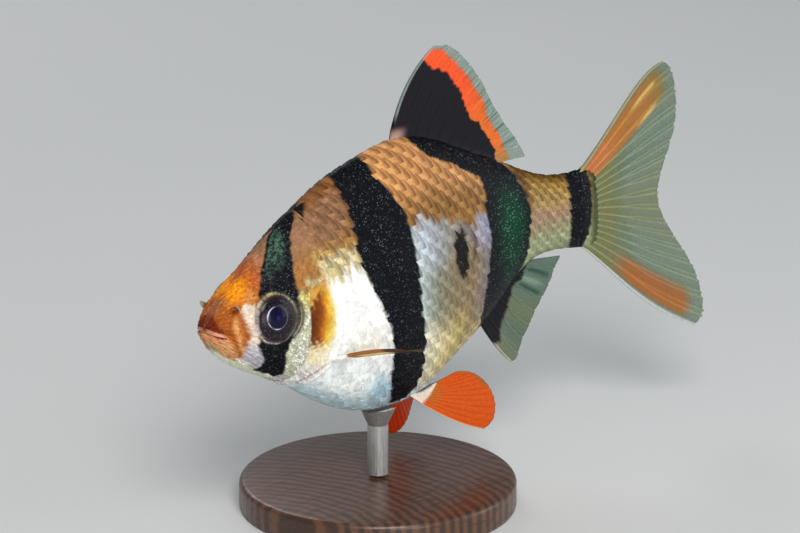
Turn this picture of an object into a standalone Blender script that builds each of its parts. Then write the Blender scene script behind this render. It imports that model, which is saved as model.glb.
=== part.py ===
"""Banded barb: a life-size still model of a small deep-bodied aquarium fish on a display stand.

The fish is drawn straight, in units of its standard length (snout to tail root = 1):
s runs from the snout to the tail, y to the fish's right, z up. place() then bends it along
its spine, tips it head-down and sets it on the stand, in metres, with +Z up.
The origin is the centre of the underside of the stand's base. The head points to -X.
"""
import math

import bmesh
import bpy
import numpy as np
from mathutils import Matrix, Vector

# Driving dimensions, in metres and degrees
STANDARD_LENGTH = 0.046
BASE_RADIUS = 0.0120
BASE_HEIGHT = 0.0025
BASE_BEVEL = 0.0005
ROD_RADIUS = 0.0009
CUP_RADIUS = 0.0016
CUP_HEIGHT = 0.0016
BELLY_CLEARANCE = 0.0064
GAP = 0.0003
MEMBRANE = 0.0005
PITCH = math.radians(2.7)
TAIL_FLICK = math.radians(-10.0)
TAIL_RETURN = math.radians(11.0)

# The gap and the membrane in units of the standard length
REL_GAP = GAP / STANDARD_LENGTH
HALF_MEMBRANE = 0.5 * MEMBRANE / STANDARD_LENGTH

# Gaps between touching bodies where they are cut or set at a slant
TORSO_CLEARANCE = 1.25 * REL_GAP
FIN_CLEARANCE = 1.35 * REL_GAP
TAIL_FIN_CLEARANCE = 1.2 * REL_GAP

# Stations along the fish
SNOUT_START = 0.018
SNOUT_HEIGHT = 0.009
SNOUT_ROUND = 0.040
SNOUT_POWER = 2.4
TAIL_CUT = 0.840
TAIL_ROOT = 1.004
TAIL_ROOT_HOLLOW = 0.026
ROD_STATION = 0.43

# Counts of points on the lofted body
AROUND = 48
HEAD_AROUND = 60
HEAD_STATIONS = 23
SNOUT_CROWDING = 1.35
TORSO_STATIONS = 21
STALK_STATIONS = 7


def spline(points):
    """Natural cubic spline through (position, value) pairs, as a function of an array."""
    x, y = np.array(points, dtype=float).T
    count = len(x)
    h = np.diff(x)
    matrix = np.eye(count)
    right = np.zeros(count)
    for i in range(1, count - 1):
        matrix[i, i - 1:i + 2] = (h[i - 1], 2 * (h[i - 1] + h[i]), h[i])
        right[i] = 6 * ((y[i + 1] - y[i]) / h[i] - (y[i] - y[i - 1]) / h[i - 1])
    second = np.linalg.solve(matrix, right)

    def value(at):
        at = np.asarray(at, dtype=float)
        i = np.clip(np.searchsorted(x, at) - 1, 0, count - 2)
        a = x[i + 1] - at
        b = at - x[i]
        cubic = (second[i] * a ** 3 + second[i + 1] * b ** 3) / (6 * h[i])
        low = (y[i] / h[i] - second[i] * h[i] / 6) * a
        high = (y[i + 1] / h[i] - second[i + 1] * h[i] / 6) * b
        return cubic + low + high

    return value


def path(points):
    """Smooth path through points in space, as a function of a share 0 to 1 of its chord length."""
    points = np.array(points, dtype=float)
    steps = np.linalg.norm(np.diff(points, axis=0), axis=1)
    share = np.concatenate([[0.0], np.cumsum(steps)]) / steps.sum()
    axes = [spline(list(zip(share, points[:, k]))) for k in range(points.shape[1])]
    return lambda u: np.stack([axis(u) for axis in axes], axis=-1)


def ease(low, high, at):
    """Smooth step from 0 at low to 1 at high."""
    t = np.clip((np.asarray(at, dtype=float) - low) / (high - low), 0, 1)
    return t * t * (3 - 2 * t)


# Body lines: height of the back and of the belly, and half the width, by station
back_line = spline([(0.0, 0.018), (0.03, 0.037), (0.06, 0.059), (0.10, 0.087), (0.15, 0.121),
                    (0.20, 0.155), (0.28, 0.198), (0.36, 0.226), (0.43, 0.242), (0.49, 0.250),
                    (0.58, 0.232), (0.68, 0.184), (0.78, 0.135), (0.87, 0.092), (0.94, 0.081),
                    (1.01, 0.089)])
belly_line = spline([(0.0, -0.016), (0.03, -0.038), (0.06, -0.064), (0.10, -0.092), (0.15, -0.120),
                     (0.20, -0.152), (0.28, -0.208), (0.36, -0.245), (0.43, -0.257), (0.50, -0.257),
                     (0.60, -0.212), (0.70, -0.159), (0.82, -0.079), (0.90, -0.069), (1.01, -0.090)])
half_width = spline([(0.0, 0.031), (0.03, 0.040), (0.06, 0.050), (0.12, 0.070), (0.20, 0.086),
                     (0.28, 0.096), (0.40, 0.102), (0.50, 0.099), (0.60, 0.087), (0.70, 0.068),
                     (0.80, 0.049), (0.90, 0.034), (0.97, 0.023), (1.01, 0.016)])
WIDEST_HEIGHT = 0.47

# The gill opening, where the head meets the torso, and the front of the gill cover, by angle
# down the side from the ridge of the back
gill_opening = spline([(0, 0.226), (40, 0.232), (64, 0.243), (92, 0.262), (118, 0.246),
                       (150, 0.203), (180, 0.188)])
cover_front = spline([(58, 0.222), (66, 0.208), (80, 0.199), (110, 0.1965), (130, 0.188),
                      (152, 0.176)])
COVER_TOP = 60.0
COVER_BOTTOM = 150.0
COVER_RISE = 0.006
COVER_DEPTH = 0.014
RECESS_PAST = 0.03

# Eye: centre of its rim, radius there, reach outside and inside that circle, turn of its face
EYE_STATION = 0.132
EYE_HEIGHT = 0.0145
EYE_OFF_MIDDLE = 0.0650
EYE_RADIUS = 0.0450
EYE_BULGE = 0.0160
EYE_DEPTH = 0.0430
EYE_TURN = math.radians(6.0)
EYE_TILT = math.radians(9.0)
RIM_RADIUS = 0.0510
RIM_THICKNESS = 0.0042
RIM_LIFT = 0.0020
RIM_CORNERS = 8


def snout_round(s):
    """Share of the full section at station s, rounded over at the tip of the snout."""
    t = np.clip((s - SNOUT_START) / SNOUT_ROUND, 0, 1)
    return (1 - (1 - t) ** SNOUT_POWER) ** (1 / SNOUT_POWER)


def section_heights(s):
    """Heights of the back, the belly and the widest line at a station."""
    share = snout_round(s)
    top = SNOUT_HEIGHT + (back_line(s) - SNOUT_HEIGHT) * share
    low = SNOUT_HEIGHT + (belly_line(s) - SNOUT_HEIGHT) * share
    return top, low, low + WIDEST_HEIGHT * (top - low)


def section(s, angle):
    """Point of the body's surface at station s and an angle down the side from the back."""
    s, angle = np.broadcast_arrays(np.asarray(s, dtype=float), np.asarray(angle, dtype=float))
    share = snout_round(s)
    top, low, widest = section_heights(s)
    up = np.cos(angle)
    side = np.sin(angle)
    ridge = 0.98 + 0.40 * ease(0.07, 0.13, s) - 0.18 * ease(0.20, 0.34, s)
    power = np.where(up > 0, ridge, 0.92)
    y = half_width(s) * share * np.sign(side) * np.abs(side) ** power
    z = widest + np.where(up > 0, top - widest, widest - low) * up
    return np.stack([s, y, z], axis=-1)


SLOPE_STEP = 0.0004
SLOPE_TURN = 0.02


def skin(s, angle, rise=0.0):
    """Point at a height above the body's surface."""
    s, angle = np.broadcast_arrays(np.asarray(s, dtype=float), np.asarray(angle, dtype=float))
    here = section(s, angle)
    along = section(s + SLOPE_STEP, angle) - section(np.maximum(s - SLOPE_STEP, SNOUT_START), angle)
    around = section(s, angle + SLOPE_TURN) - section(s, angle - SLOPE_TURN)
    normal = np.cross(along, around)
    normal /= np.maximum(np.linalg.norm(normal, axis=-1, keepdims=True), 1e-12)
    return here + normal * np.asarray(rise)[..., None]


def side_width(s, z):
    """Half the width of the body at a station and a height."""
    share = snout_round(s)
    top, low, widest = section_heights(s)
    up = np.where(z > widest, (z - widest) / (top - widest), (z - widest) / (widest - low))
    return half_width(s) * share * np.sqrt(np.clip(1 - up ** 2, 0, 1))


# Spine: straight for most of its length, then a flick of the tail towards the near side
SPINE_STEPS = 3001
spine_s = np.linspace(-0.1, 1.5, SPINE_STEPS)
spine_angle = TAIL_FLICK * ease(0.72, 0.98, spine_s) + TAIL_RETURN * ease(0.98, 1.22, spine_s)
spine_x = np.cumsum(np.cos(spine_angle)) * (spine_s[1] - spine_s[0])
spine_y = np.cumsum(np.sin(spine_angle)) * (spine_s[1] - spine_s[0])


def bend(points):
    """Bend straight points along the spine and tip the fish head-down."""
    points = np.asarray(points, dtype=float)
    s, y, z = points[..., 0], points[..., 1], points[..., 2]
    angle = np.interp(s, spine_s, spine_angle)
    x = np.interp(s, spine_s, spine_x) - y * np.sin(angle)
    side = np.interp(s, spine_s, spine_y) + y * np.cos(angle)
    tipped_x = x * math.cos(PITCH) - z * math.sin(PITCH)
    tipped_z = x * math.sin(PITCH) + z * math.cos(PITCH)
    return np.stack([tipped_x, side, tipped_z], axis=-1)


# The belly rests over the middle of the base, at its clearance above it
held_point = bend([ROD_STATION, 0.0, float(belly_line(ROD_STATION))])
BELLY_HEIGHT = BASE_HEIGHT + BELLY_CLEARANCE
place_shift = np.array([0.0, 0.0, BELLY_HEIGHT]) - held_point * STANDARD_LENGTH


def place(points):
    """World position in metres of straight points given in standard lengths."""
    return bend(points) * STANDARD_LENGTH + place_shift


# Points nearer than this are one point, and edges sharper than this stay sharp
WELD = 1e-6
SHARP_ANGLE = math.radians(35)


def material(name, color, roughness, metallic=0.0):
    """Principled material with one plain finish."""
    made = bpy.data.materials.new(name)
    made.use_nodes = True
    shader = made.node_tree.nodes["Principled BSDF"]
    shader.inputs["Base Color"].default_value = (*color, 1.0)
    shader.inputs["Roughness"].default_value = roughness
    shader.inputs["Metallic"].default_value = metallic
    return made


def collection(name):
    """New collection linked to the scene."""
    made = bpy.data.collections.new(name)
    bpy.context.scene.collection.children.link(made)
    return made


def mesh_object(name, points, faces, group, finish=None):
    """Object from points and faces, triangulated, with its faces pointing out."""
    mesh = bpy.data.meshes.new(name)
    mesh.from_pydata([tuple(p) for p in np.asarray(points).reshape(-1, 3)], [], faces)
    work = bmesh.new()
    work.from_mesh(mesh)
    bmesh.ops.triangulate(work, faces=work.faces)
    bmesh.ops.recalc_face_normals(work, faces=work.faces)
    work.to_mesh(mesh)
    work.free()
    made = bpy.data.objects.new(name, mesh)
    group.objects.link(made)
    if finish:
        mesh.materials.append(finish)
        mesh.shade_smooth()
    return made


def apply_modifiers(target):
    """Replace an object's mesh by the one that its modifiers make."""
    evaluated = target.evaluated_get(bpy.context.evaluated_depsgraph_get())
    result = bpy.data.meshes.new_from_object(evaluated)
    target.modifiers.clear()
    old = target.data
    target.data = result
    bpy.data.meshes.remove(old)


def boolean(target, tools, operation):
    """Apply one Boolean of a target with a list of closed objects, and remove those objects."""
    group = bpy.data.collections.new("tools")
    for tool in tools:
        group.objects.link(tool)
    modifier = target.modifiers.new("cut", "BOOLEAN")
    modifier.operation = operation
    modifier.operand_type = "COLLECTION"
    modifier.collection = group
    modifier.solver = "EXACT"
    apply_modifiers(target)
    for tool in list(tools):
        bpy.data.objects.remove(tool)
    bpy.data.collections.remove(group)


def keep_largest(target):
    """Weld, triangulate and keep only the largest closed surface of a node."""
    work = bmesh.new()
    work.from_mesh(target.data)
    bmesh.ops.remove_doubles(work, verts=work.verts, dist=WELD)
    bmesh.ops.triangulate(work, faces=work.faces)
    left = set(work.faces)
    pieces = []
    while left:
        start = left.pop()
        piece = {start}
        front = [start]
        while front:
            face = front.pop()
            for edge in face.edges:
                for other in edge.link_faces:
                    if other in left:
                        left.discard(other)
                        piece.add(other)
                        front.append(other)
        pieces.append(piece)
    largest = max(pieces, key=lambda faces: sum(f.calc_area() for f in faces))
    loose = [f for piece in pieces if piece is not largest for f in piece]
    bmesh.ops.delete(work, geom=loose, context="FACES")
    work.to_mesh(target.data)
    work.free()


def loft(name, stations, angles, group, finish=None, rise=0.0, snout=False):
    """Closed body between a first and a last ring. stations holds one row of s for each ring."""
    rings, around = stations.shape
    points = place(skin(stations, angles[None, :], rise)).reshape(-1, 3)
    faces = []
    for i in range(rings - 1):
        for k in range(around):
            a = i * around + k
            b = i * around + (k + 1) % around
            faces.append((a, b, b + around, a + around))
    points = list(points)
    ends = [(rings - 1) * around]
    if snout:
        tip = place([SNOUT_START, 0.0, SNOUT_HEIGHT])
        points.append(tip)
        for k in range(around):
            faces.append((len(points) - 1, (k + 1) % around, k))
    else:
        ends.append(0)
    for first in ends:
        for k in range(around // 2):
            ring = [first + k, first + (k + 1), first + (around - k - 1), first + (around - k) % around]
            faces.append(tuple(dict.fromkeys(ring)))
    return mesh_object(name, points, faces, group, finish)


def ring_angles(count=AROUND):
    """Angles round the body, starting at the back."""
    return np.linspace(0, 2 * math.pi, count, endpoint=False)


def by_side(function, angles):
    """Value of a line given in degrees down the side, for angles right round the body."""
    return function(np.degrees(np.arccos(np.cos(angles))))


def tail_root(angles):
    """Station of the rounded rear edge of the tail's flesh."""
    return TAIL_ROOT - TAIL_ROOT_HOLLOW * np.cos(angles) ** 2


def patch(name, front, rear, top, bottom, high, low, group, finish=None, columns=9, rows=16, side=-1):
    """Closed plate over the body's side between two stations and two angles."""
    t = np.linspace(0, 1, columns)
    degrees = np.linspace(top, bottom, rows)
    stations = front(degrees)[:, None] * (1 - t) + rear(degrees)[:, None] * t
    angle = np.broadcast_to(side * np.radians(degrees)[:, None], stations.shape)
    high = np.broadcast_to(high(t) if callable(high) else high, stations.shape)
    outer = place(skin(stations, angle, high))
    inner = place(skin(stations, angle, np.full(stations.shape, -low)))
    return two_faced(name, outer, inner, group, finish)


def two_faced(name, upper, under, group, finish=None):
    """Closed sheet between two like grids of points, split into triangles alike on both faces."""
    rows, columns = upper.shape[:2]
    count = rows * columns
    faces = []
    for i in range(rows - 1):
        for k in range(columns - 1):
            a = i * columns + k
            b, c, d = a + 1, a + columns + 1, a + columns
            faces += [(a, b, c), (a, c, d)]
            faces += [(a + count, c + count, b + count), (a + count, d + count, c + count)]
    rim = [k for k in range(columns)]
    rim += [(i + 1) * columns - 1 for i in range(1, rows)]
    rim += [(rows - 1) * columns + k for k in range(columns - 2, -1, -1)]
    rim += [i * columns for i in range(rows - 2, 0, -1)]
    for a, b in zip(rim, rim[1:] + rim[:1]):
        faces += [(b, a, a + count), (b, a + count, b + count)]
    points = np.concatenate([upper.reshape(-1, 3), under.reshape(-1, 3)])
    return mesh_object(name, points, faces, group, finish)


# Fins: half thickness at the root, height of a ray at its root, and where each thins out
FIN_ROOT_HALF = 0.0085
PAIRED_ROOT_HALF = 0.0070
FIN_ROOT_END = 0.16
RAY_HEIGHT = 0.0032
RAY_TAPER = 0.55
FIN_TIP_START = 0.86
FIN_TIP_THIN = 0.5


def fin(name, root, edge, across, rays, rows, group, finish, bow=(0, 0, 0), root_half=FIN_ROOT_HALF,
        shift=None):
    """Fin with raised rays that fan from its root to its free edge.

    root and edge are paths, across is the direction of the fin's thickness, and bow bends the
    rays sideways in the fin's own plane, most at the leading ray.
    """
    columns = 2 * rays - 1
    u = np.linspace(0, 1, columns)[:, None]
    v = np.linspace(0, 1, rows)[None, :]
    from_root = root(u[:, 0])[:, None, :]
    to_edge = edge(u[:, 0])[:, None, :]
    arch = (4 * v * (1 - v) * (1 - u) ** 2)[..., None] * np.array(bow)
    middle = from_root * (1 - v[..., None]) + to_edge * v[..., None] + arch
    if shift:
        middle = shift(middle)
    is_ray = (np.arange(columns) % 2 == 0)[:, None]
    thin = root_half + (HALF_MEMBRANE - root_half) * ease(0.0, FIN_ROOT_END, v)
    ray = np.where(is_ray, RAY_HEIGHT * (1 - RAY_TAPER * v), 0.0)
    half = (thin + ray) * (1 - FIN_TIP_THIN * ease(FIN_TIP_START, 1.0, v))
    across = np.array(across, dtype=float)
    across = across / np.linalg.norm(across)
    upper = place(middle + half[..., None] * across)
    under = place(middle - half[..., None] * across)
    return two_faced(name, upper, under, group, finish)


def tube(name, points, radius, group):
    """Closed round tube along points, as a mesh."""
    curve = bpy.data.curves.new(name, "CURVE")
    curve.dimensions = "3D"
    curve.bevel_depth = radius
    curve.bevel_resolution = 1
    curve.use_fill_caps = True
    line = curve.splines.new("POLY")
    line.points.add(len(points) - 1)
    for slot, point in zip(line.points, points):
        slot.co = (*point, 1.0)
    source = bpy.data.objects.new(name, curve)
    group.objects.link(source)
    evaluated = source.evaluated_get(bpy.context.evaluated_depsgraph_get())
    mesh = bpy.data.meshes.new_from_object(evaluated)
    bpy.data.objects.remove(source)
    work = bmesh.new()
    work.from_mesh(mesh)
    bmesh.ops.remove_doubles(work, verts=work.verts, dist=WELD)
    bmesh.ops.recalc_face_normals(work, faces=work.faces)
    work.to_mesh(mesh)
    work.free()
    made = bpy.data.objects.new(name, mesh)
    group.objects.link(made)
    return made


def turned(name, profile, group, finish=None, segments=48, ring=False):
    """Shape turned round Z from (radius, height) pairs that run down its outer side, top to bottom.

    A ring is turned from a closed profile clear of the axis.
    """
    count = len(profile)
    edges = [(i, i + 1) for i in range(count - 1)]
    if ring:
        edges.append((count - 1, 0))
    mesh = bpy.data.meshes.new(name)
    mesh.from_pydata([(radius, 0.0, height) for radius, height in profile], edges, [])
    made = bpy.data.objects.new(name, mesh)
    group.objects.link(made)
    screw = made.modifiers.new("turn", "SCREW")
    screw.steps = segments
    screw.render_steps = segments
    screw.use_merge_vertices = True
    screw.merge_threshold = WELD
    apply_modifiers(made)
    if finish:
        made.data.materials.append(finish)
        made.data.shade_smooth()
        made.data.set_sharp_from_angle(angle=SHARP_ANGLE)
    return made


def eye_matrix(side):
    """World placing of an eye, with its own Z looking out of the head."""
    centre = place([EYE_STATION, side * EYE_OFF_MIDDLE, EYE_HEIGHT])
    look = Vector((-math.sin(EYE_TURN), side * math.cos(EYE_TURN), math.sin(EYE_TILT)))
    turn = look.to_track_quat("Z", "Y").to_matrix().to_4x4()
    return Matrix.Translation(Vector(centre)) @ turn


def eyeball(name, side, grow, group, finish=None, segments=20, rings=10):
    """Ball of an eye, flatter outside its rim than inside, grown all round by a gap."""
    work = bmesh.new()
    bmesh.ops.create_uvsphere(work, u_segments=segments, v_segments=rings, radius=1.0)
    radius = EYE_RADIUS * STANDARD_LENGTH + grow
    bulge = EYE_BULGE * STANDARD_LENGTH + grow
    depth = EYE_DEPTH * STANDARD_LENGTH + grow
    for vert in work.verts:
        high = bulge if vert.co.z > 0 else depth
        vert.co = Vector((vert.co.x * radius, vert.co.y * radius, vert.co.z * high))
    bmesh.ops.triangulate(work, faces=work.faces)
    bmesh.ops.transform(work, matrix=eye_matrix(side), verts=work.verts)
    mesh = bpy.data.meshes.new(name)
    work.to_mesh(mesh)
    work.free()
    made = bpy.data.objects.new(name, mesh)
    group.objects.link(made)
    if finish:
        mesh.materials.append(finish)
        mesh.shade_smooth()
    return made


# Mouth: a short oblique slit with a lip above and below
MOUTH_CORNER = 0.038
MOUTH_HEIGHT = 0.0164
MOUTH_SLOPE = -0.58
LIP_UP = 0.0066
LIP_DOWN = -0.0084
UPPER_LIP_RADIUS = 0.0060
LOWER_LIP_RADIUS = 0.0070
LIP_SINK = 0.0044
SLIT_HALF = 0.0028
SLIT_FRONT = -0.016
SLIT_BACK = 0.033
SLIT_REACH = 0.060


def mouth_line(s):
    """Height of the mouth's slit at a station."""
    return MOUTH_HEIGHT + MOUTH_SLOPE * s


def lip(name, offset, radius, group):
    """Lip that follows the snout from one corner of the mouth round to the other."""
    fine = np.linspace(SNOUT_START, MOUTH_CORNER, 200)
    height = mouth_line(fine) + offset * (1 - 0.5 * ease(0.6, 1.0, fine / MOUTH_CORNER))
    width = side_width(fine, height)
    outside = width > 0
    share = np.linspace(1, 0, 7) ** 2
    at = fine[outside][0] + (MOUTH_CORNER - fine[outside][0]) * share
    inward = np.interp(at, fine, width) - LIP_SINK * share
    stations = at + LIP_SINK * (1 - share)
    near = np.stack([stations, -np.maximum(inward, 0), np.interp(at, fine, height)], axis=1)
    near[-1, 1] = 0.0
    far = near[-2::-1] * np.array([1, -1, 1])
    return tube(name, place(np.concatenate([near, far])), radius * STANDARD_LENGTH, group)


def mouth_slit(group):
    """Thin wedge that parts the lips, widest at the front."""
    work = bmesh.new()
    bmesh.ops.create_cube(work, size=2.0)
    for vert in work.verts:
        s = SLIT_FRONT if vert.co.x < 0 else SLIT_BACK
        half = SLIT_HALF if vert.co.x < 0 else 0.25 * SLIT_HALF
        vert.co = Vector(place([s, SLIT_REACH * vert.co.y, mouth_line(s) + half * vert.co.z]))
    mesh = bpy.data.meshes.new("mouth_slit")
    work.to_mesh(mesh)
    work.free()
    made = bpy.data.objects.new("mouth_slit", mesh)
    group.objects.link(made)
    return made


# Nostril: a pit with a low rim on the snout in front of the eye, and a small flap that stands
# up behind it
NOSTRIL_STATION = 0.059
NOSTRIL_ANGLE = math.radians(46)
NOSTRIL_RADIUS = 0.0070
NOSTRIL_PIT = 0.0042
NOSTRIL_RISE = 0.0026
FLAP_STATION = 0.0665
FLAP_SIZE = (0.0032, 0.0072, 0.0130)


def on_snout(station, angle, side):
    """World placing of a piece set square on the head, with its own Z outwards and X forwards."""
    centre = Vector(place(skin(station, side * angle)))
    up = (Vector(place(skin(station, side * angle, 0.01))) - centre).normalized()
    forward = Vector(place(skin(station - 0.01, side * angle))) - centre
    across = up.cross(forward).normalized()
    turn = Matrix((across.cross(up), across, up)).transposed().to_4x4()
    return Matrix.Translation(centre) @ turn


def nostril(side, profile, name, group):
    """Turned piece set square on the snout at a nostril."""
    scaled = [(r * STANDARD_LENGTH, h * STANDARD_LENGTH) for r, h in profile]
    made = turned(name, scaled, group, segments=12)
    made.data.transform(on_snout(NOSTRIL_STATION, NOSTRIL_ANGLE, side))
    return made


def nostril_flap(side, group):
    """Thin rounded flap of skin behind a nostril."""
    work = bmesh.new()
    bmesh.ops.create_uvsphere(work, u_segments=12, v_segments=8, radius=STANDARD_LENGTH)
    bmesh.ops.transform(work, matrix=Matrix.Diagonal((*FLAP_SIZE, 1.0)), verts=work.verts)
    bmesh.ops.transform(work, matrix=on_snout(FLAP_STATION, NOSTRIL_ANGLE, side), verts=work.verts)
    mesh = bpy.data.meshes.new("nostril_flap")
    work.to_mesh(mesh)
    work.free()
    made = bpy.data.objects.new("nostril_flap", mesh)
    group.objects.link(made)
    return made


def eye_rim(side, group):
    """Ring that stands out of the head round an eye socket."""
    scaled = []
    for k in range(RIM_CORNERS):
        turn = 2 * math.pi * k / RIM_CORNERS
        radius = RIM_RADIUS + RIM_THICKNESS * math.sin(turn)
        height = RIM_LIFT + RIM_THICKNESS * math.cos(turn)
        scaled.append((radius * STANDARD_LENGTH, height * STANDARD_LENGTH))
    made = turned("eye_rim", scaled, group, segments=36, ring=True)
    made.data.transform(eye_matrix(side))
    return made


def make_head(group, cutters, finish):
    """Head from the snout to the gill opening, with eye sockets, lips, nostrils and gill recesses."""
    angles = ring_angles(HEAD_AROUND)
    share = np.linspace(0.0, 1.0, HEAD_STATIONS)[:, None] ** SNOUT_CROWDING
    start = SNOUT_START + 0.0010
    stations = start + (by_side(gill_opening, angles)[None, :] - start) * share
    head = loft("head", stations, angles, group, finish, snout=True)
    forms = [lip("upper_lip", LIP_UP, UPPER_LIP_RADIUS, cutters),
             lip("lower_lip", LIP_DOWN, LOWER_LIP_RADIUS, cutters)]
    rim = [(0, NOSTRIL_RISE), (0.82 * NOSTRIL_RADIUS, NOSTRIL_RISE), (NOSTRIL_RADIUS, 0.3 * NOSTRIL_RISE),
           (NOSTRIL_RADIUS, -0.012), (0, -0.012)]
    pit = [(0, 0.010), (NOSTRIL_PIT, 0.010), (NOSTRIL_PIT, -0.006), (0, -0.006)]
    for side in (-1, 1):
        forms.append(nostril(side, rim, "nostril_rim", cutters))
        forms.append(nostril_flap(side, cutters))
        forms.append(eye_rim(side, cutters))
    boolean(head, forms, "UNION")
    keep_largest(head)
    cuts = [mouth_slit(cutters)]
    for side in (-1, 1):
        cuts.append(nostril(side, pit, "nostril_pit", cutters))
        cuts.append(eyeball("eye_socket", side, GAP, cutters))
        cuts.append(patch("gill_recess", lambda d: cover_front(d) - REL_GAP,
                          lambda d: gill_opening(d) + RECESS_PAST, COVER_TOP - 4, COVER_BOTTOM + 5,
                          RECESS_PAST, COVER_DEPTH + REL_GAP, cutters, columns=5, rows=12, side=side))
    boolean(head, cuts, "DIFFERENCE")
    keep_largest(head)
    head.data.shade_smooth()
    return head


def make_gill_cover(name, side, group, finish):
    """Bony plate over the gills, raised towards its free rear edge."""
    return patch(name, cover_front, gill_opening, COVER_TOP, COVER_BOTTOM,
                 lambda t: COVER_RISE * (0.25 + 0.75 * ease(0.1, 0.9, t)), COVER_DEPTH,
                 group, finish, side=side)


def make_torso(group, finish):
    """Trunk from the gill opening to the tail."""
    angles = ring_angles()
    share = np.linspace(0, 1, TORSO_STATIONS)[:, None]
    front = by_side(gill_opening, angles)[None, :] + TORSO_CLEARANCE
    stations = front + (TAIL_CUT - front) * share
    return loft("torso", stations, angles, group, finish)


def make_tail_stalk(group, finish):
    """Narrow stalk of the tail, with a rounded rear edge."""
    angles = ring_angles()
    share = np.linspace(0, 1, STALK_STATIONS)[:, None]
    front = TAIL_CUT + REL_GAP
    stations = front + (tail_root(angles)[None, :] - front) * share
    return loft("tail_stalk", stations, angles, group, finish)


def along_back(first, last, line, lift):
    """Path on the middle plane along the back or the belly, a little off the body."""
    s = np.linspace(first, last, 7)
    return path(np.stack([s, np.zeros(7), line(s) + lift], axis=1))


def make_dorsal(group, finish):
    """Back fin: tall in front, with a hollow rear edge."""
    root = along_back(0.487, 0.772, back_line, FIN_CLEARANCE)
    edge = path([(0.612, 0, 0.402), (0.640, 0, 0.398), (0.668, 0, 0.380), (0.700, 0, 0.347),
                 (0.728, 0, 0.307), (0.757, 0, 0.254), (0.790, 0, 0.207), (0.820, 0, 0.165),
                 (0.838, 0, 0.134)])
    return fin("dorsal_fin", root, edge, (0, 1, 0), 11, 10, group, finish, bow=(-0.016, 0, 0.016))


def make_anal(group, finish):
    """Anal fin under the rear of the torso."""
    root = along_back(0.700, 0.832, belly_line, -FIN_CLEARANCE)
    edge = path([(0.785, 0, -0.270), (0.798, 0, -0.268), (0.812, 0, -0.244), (0.828, 0, -0.217),
                 (0.849, 0, -0.188), (0.871, 0, -0.159), (0.891, 0, -0.132), (0.904, 0, -0.106),
                 (0.918, 0, -0.084)])
    return fin("anal_fin", root, edge, (0, 1, 0), 9, 8, group, finish, bow=(0, 0, -0.008))


# Tail fin: its middle line, how far it droops and how far the tips of its lobes turn aside
CAUDAL_RAYS = 18
CAUDAL_MIDDLE = -0.007
CAUDAL_DROOP = 0.022
LOBE_TWIST = 0.040
CAUDAL_ROOT_HEIGHT = 0.088
UPPER_SWELL = 0.037
LOWER_SWELL = 0.021
SWELL_POWER = 1.2
SWELL_OUTWARD = 2.2
LOWER_LOBE = 1.03


def twist_lobes(points):
    """Turn the upper lobe of the tail fin to the far side and the lower one to the near side."""
    reach = np.clip((points[..., 0] - 1.0) / 0.25, 0, 2) ** 1.5
    height = (points[..., 2] - CAUDAL_MIDDLE) / 0.27
    moved = points.copy()
    moved[..., 1] += LOBE_TWIST * reach * height
    moved[..., 2] -= CAUDAL_DROOP * reach
    return moved


def make_caudal(group, finish):
    """Forked tail fin, its lower lobe a little longer."""
    turn = np.linspace(0.05 * math.pi, 0.95 * math.pi, 9)
    root_s = tail_root(turn) + TAIL_FIN_CLEARANCE
    root = path(np.stack([root_s, 0 * turn, CAUDAL_ROOT_HEIGHT * np.cos(turn)], axis=1))
    half = [(1.231, 0.264), (1.249, 0.256), (1.260, 0.238), (1.264, 0.208), (1.254, 0.160),
            (1.222, 0.103), (1.187, 0.052)]
    upper = [(s, 0, CAUDAL_MIDDLE + z) for s, z in half]
    lower = [(s, 0, CAUDAL_MIDDLE - LOWER_LOBE * z) for s, z in reversed(half)]
    edge = path(upper + [(1.168, 0, CAUDAL_MIDDLE)] + lower)
    columns = 2 * CAUDAL_RAYS - 1
    u = np.linspace(0, 1, columns)

    def swell(points):
        """Bow the outer rays of both lobes outwards."""
        v = np.linspace(0, 1, points.shape[1])[None, :]
        outward = 2 * u[:, None] - 1
        reach = np.where(outward > 0, -LOWER_SWELL, UPPER_SWELL)
        moved = points.copy()
        moved[..., 2] += reach * np.abs(outward) ** SWELL_OUTWARD * np.sin(math.pi * v ** SWELL_POWER)
        return twist_lobes(moved)

    return fin("caudal_fin", root, edge, (0, 1, 0), CAUDAL_RAYS, 11, group, finish, shift=swell)


def paired_fin(name, root, edge, rays, rows, group, finish, bow=(0, 0, 0)):
    """Fin of a pair, as thick as its membrane across its own plane."""
    root = path(root)
    edge = path(edge)
    lead = edge(0.0) - root(0.0)
    trail = edge(1.0) - root(1.0)
    return fin(name, root, edge, np.cross(lead, trail), rays, rows, group, finish, bow=bow,
               root_half=PAIRED_ROOT_HALF)


def make_pelvics(group, finish):
    """Belly fins: the left one lies back, the right one is spread further down and out."""
    left_root = [(0.494, -0.042, -0.2555), (0.517, -0.043, -0.2465), (0.541, -0.041, -0.2330)]
    left_edge = [(0.640, -0.067, -0.348), (0.658, -0.069, -0.341), (0.670, -0.069, -0.325),
                 (0.673, -0.067, -0.302), (0.666, -0.063, -0.275), (0.646, -0.058, -0.247),
                 (0.617, -0.054, -0.228), (0.590, -0.050, -0.221)]
    right_root = [(0.487, 0.041, -0.2555), (0.513, 0.042, -0.2470), (0.540, 0.040, -0.2330)]
    right_edge = [(0.546, 0.099, -0.370), (0.563, 0.099, -0.377), (0.581, 0.095, -0.368),
                  (0.594, 0.089, -0.344), (0.598, 0.080, -0.312)]
    paired_fin("pelvic_fin_left", left_root, left_edge, 9, 8, group, finish, bow=(0.002, -0.004, -0.010))
    paired_fin("pelvic_fin_right", right_root, right_edge, 8, 8, group, finish, bow=(0.004, 0.004, -0.006))


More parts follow.
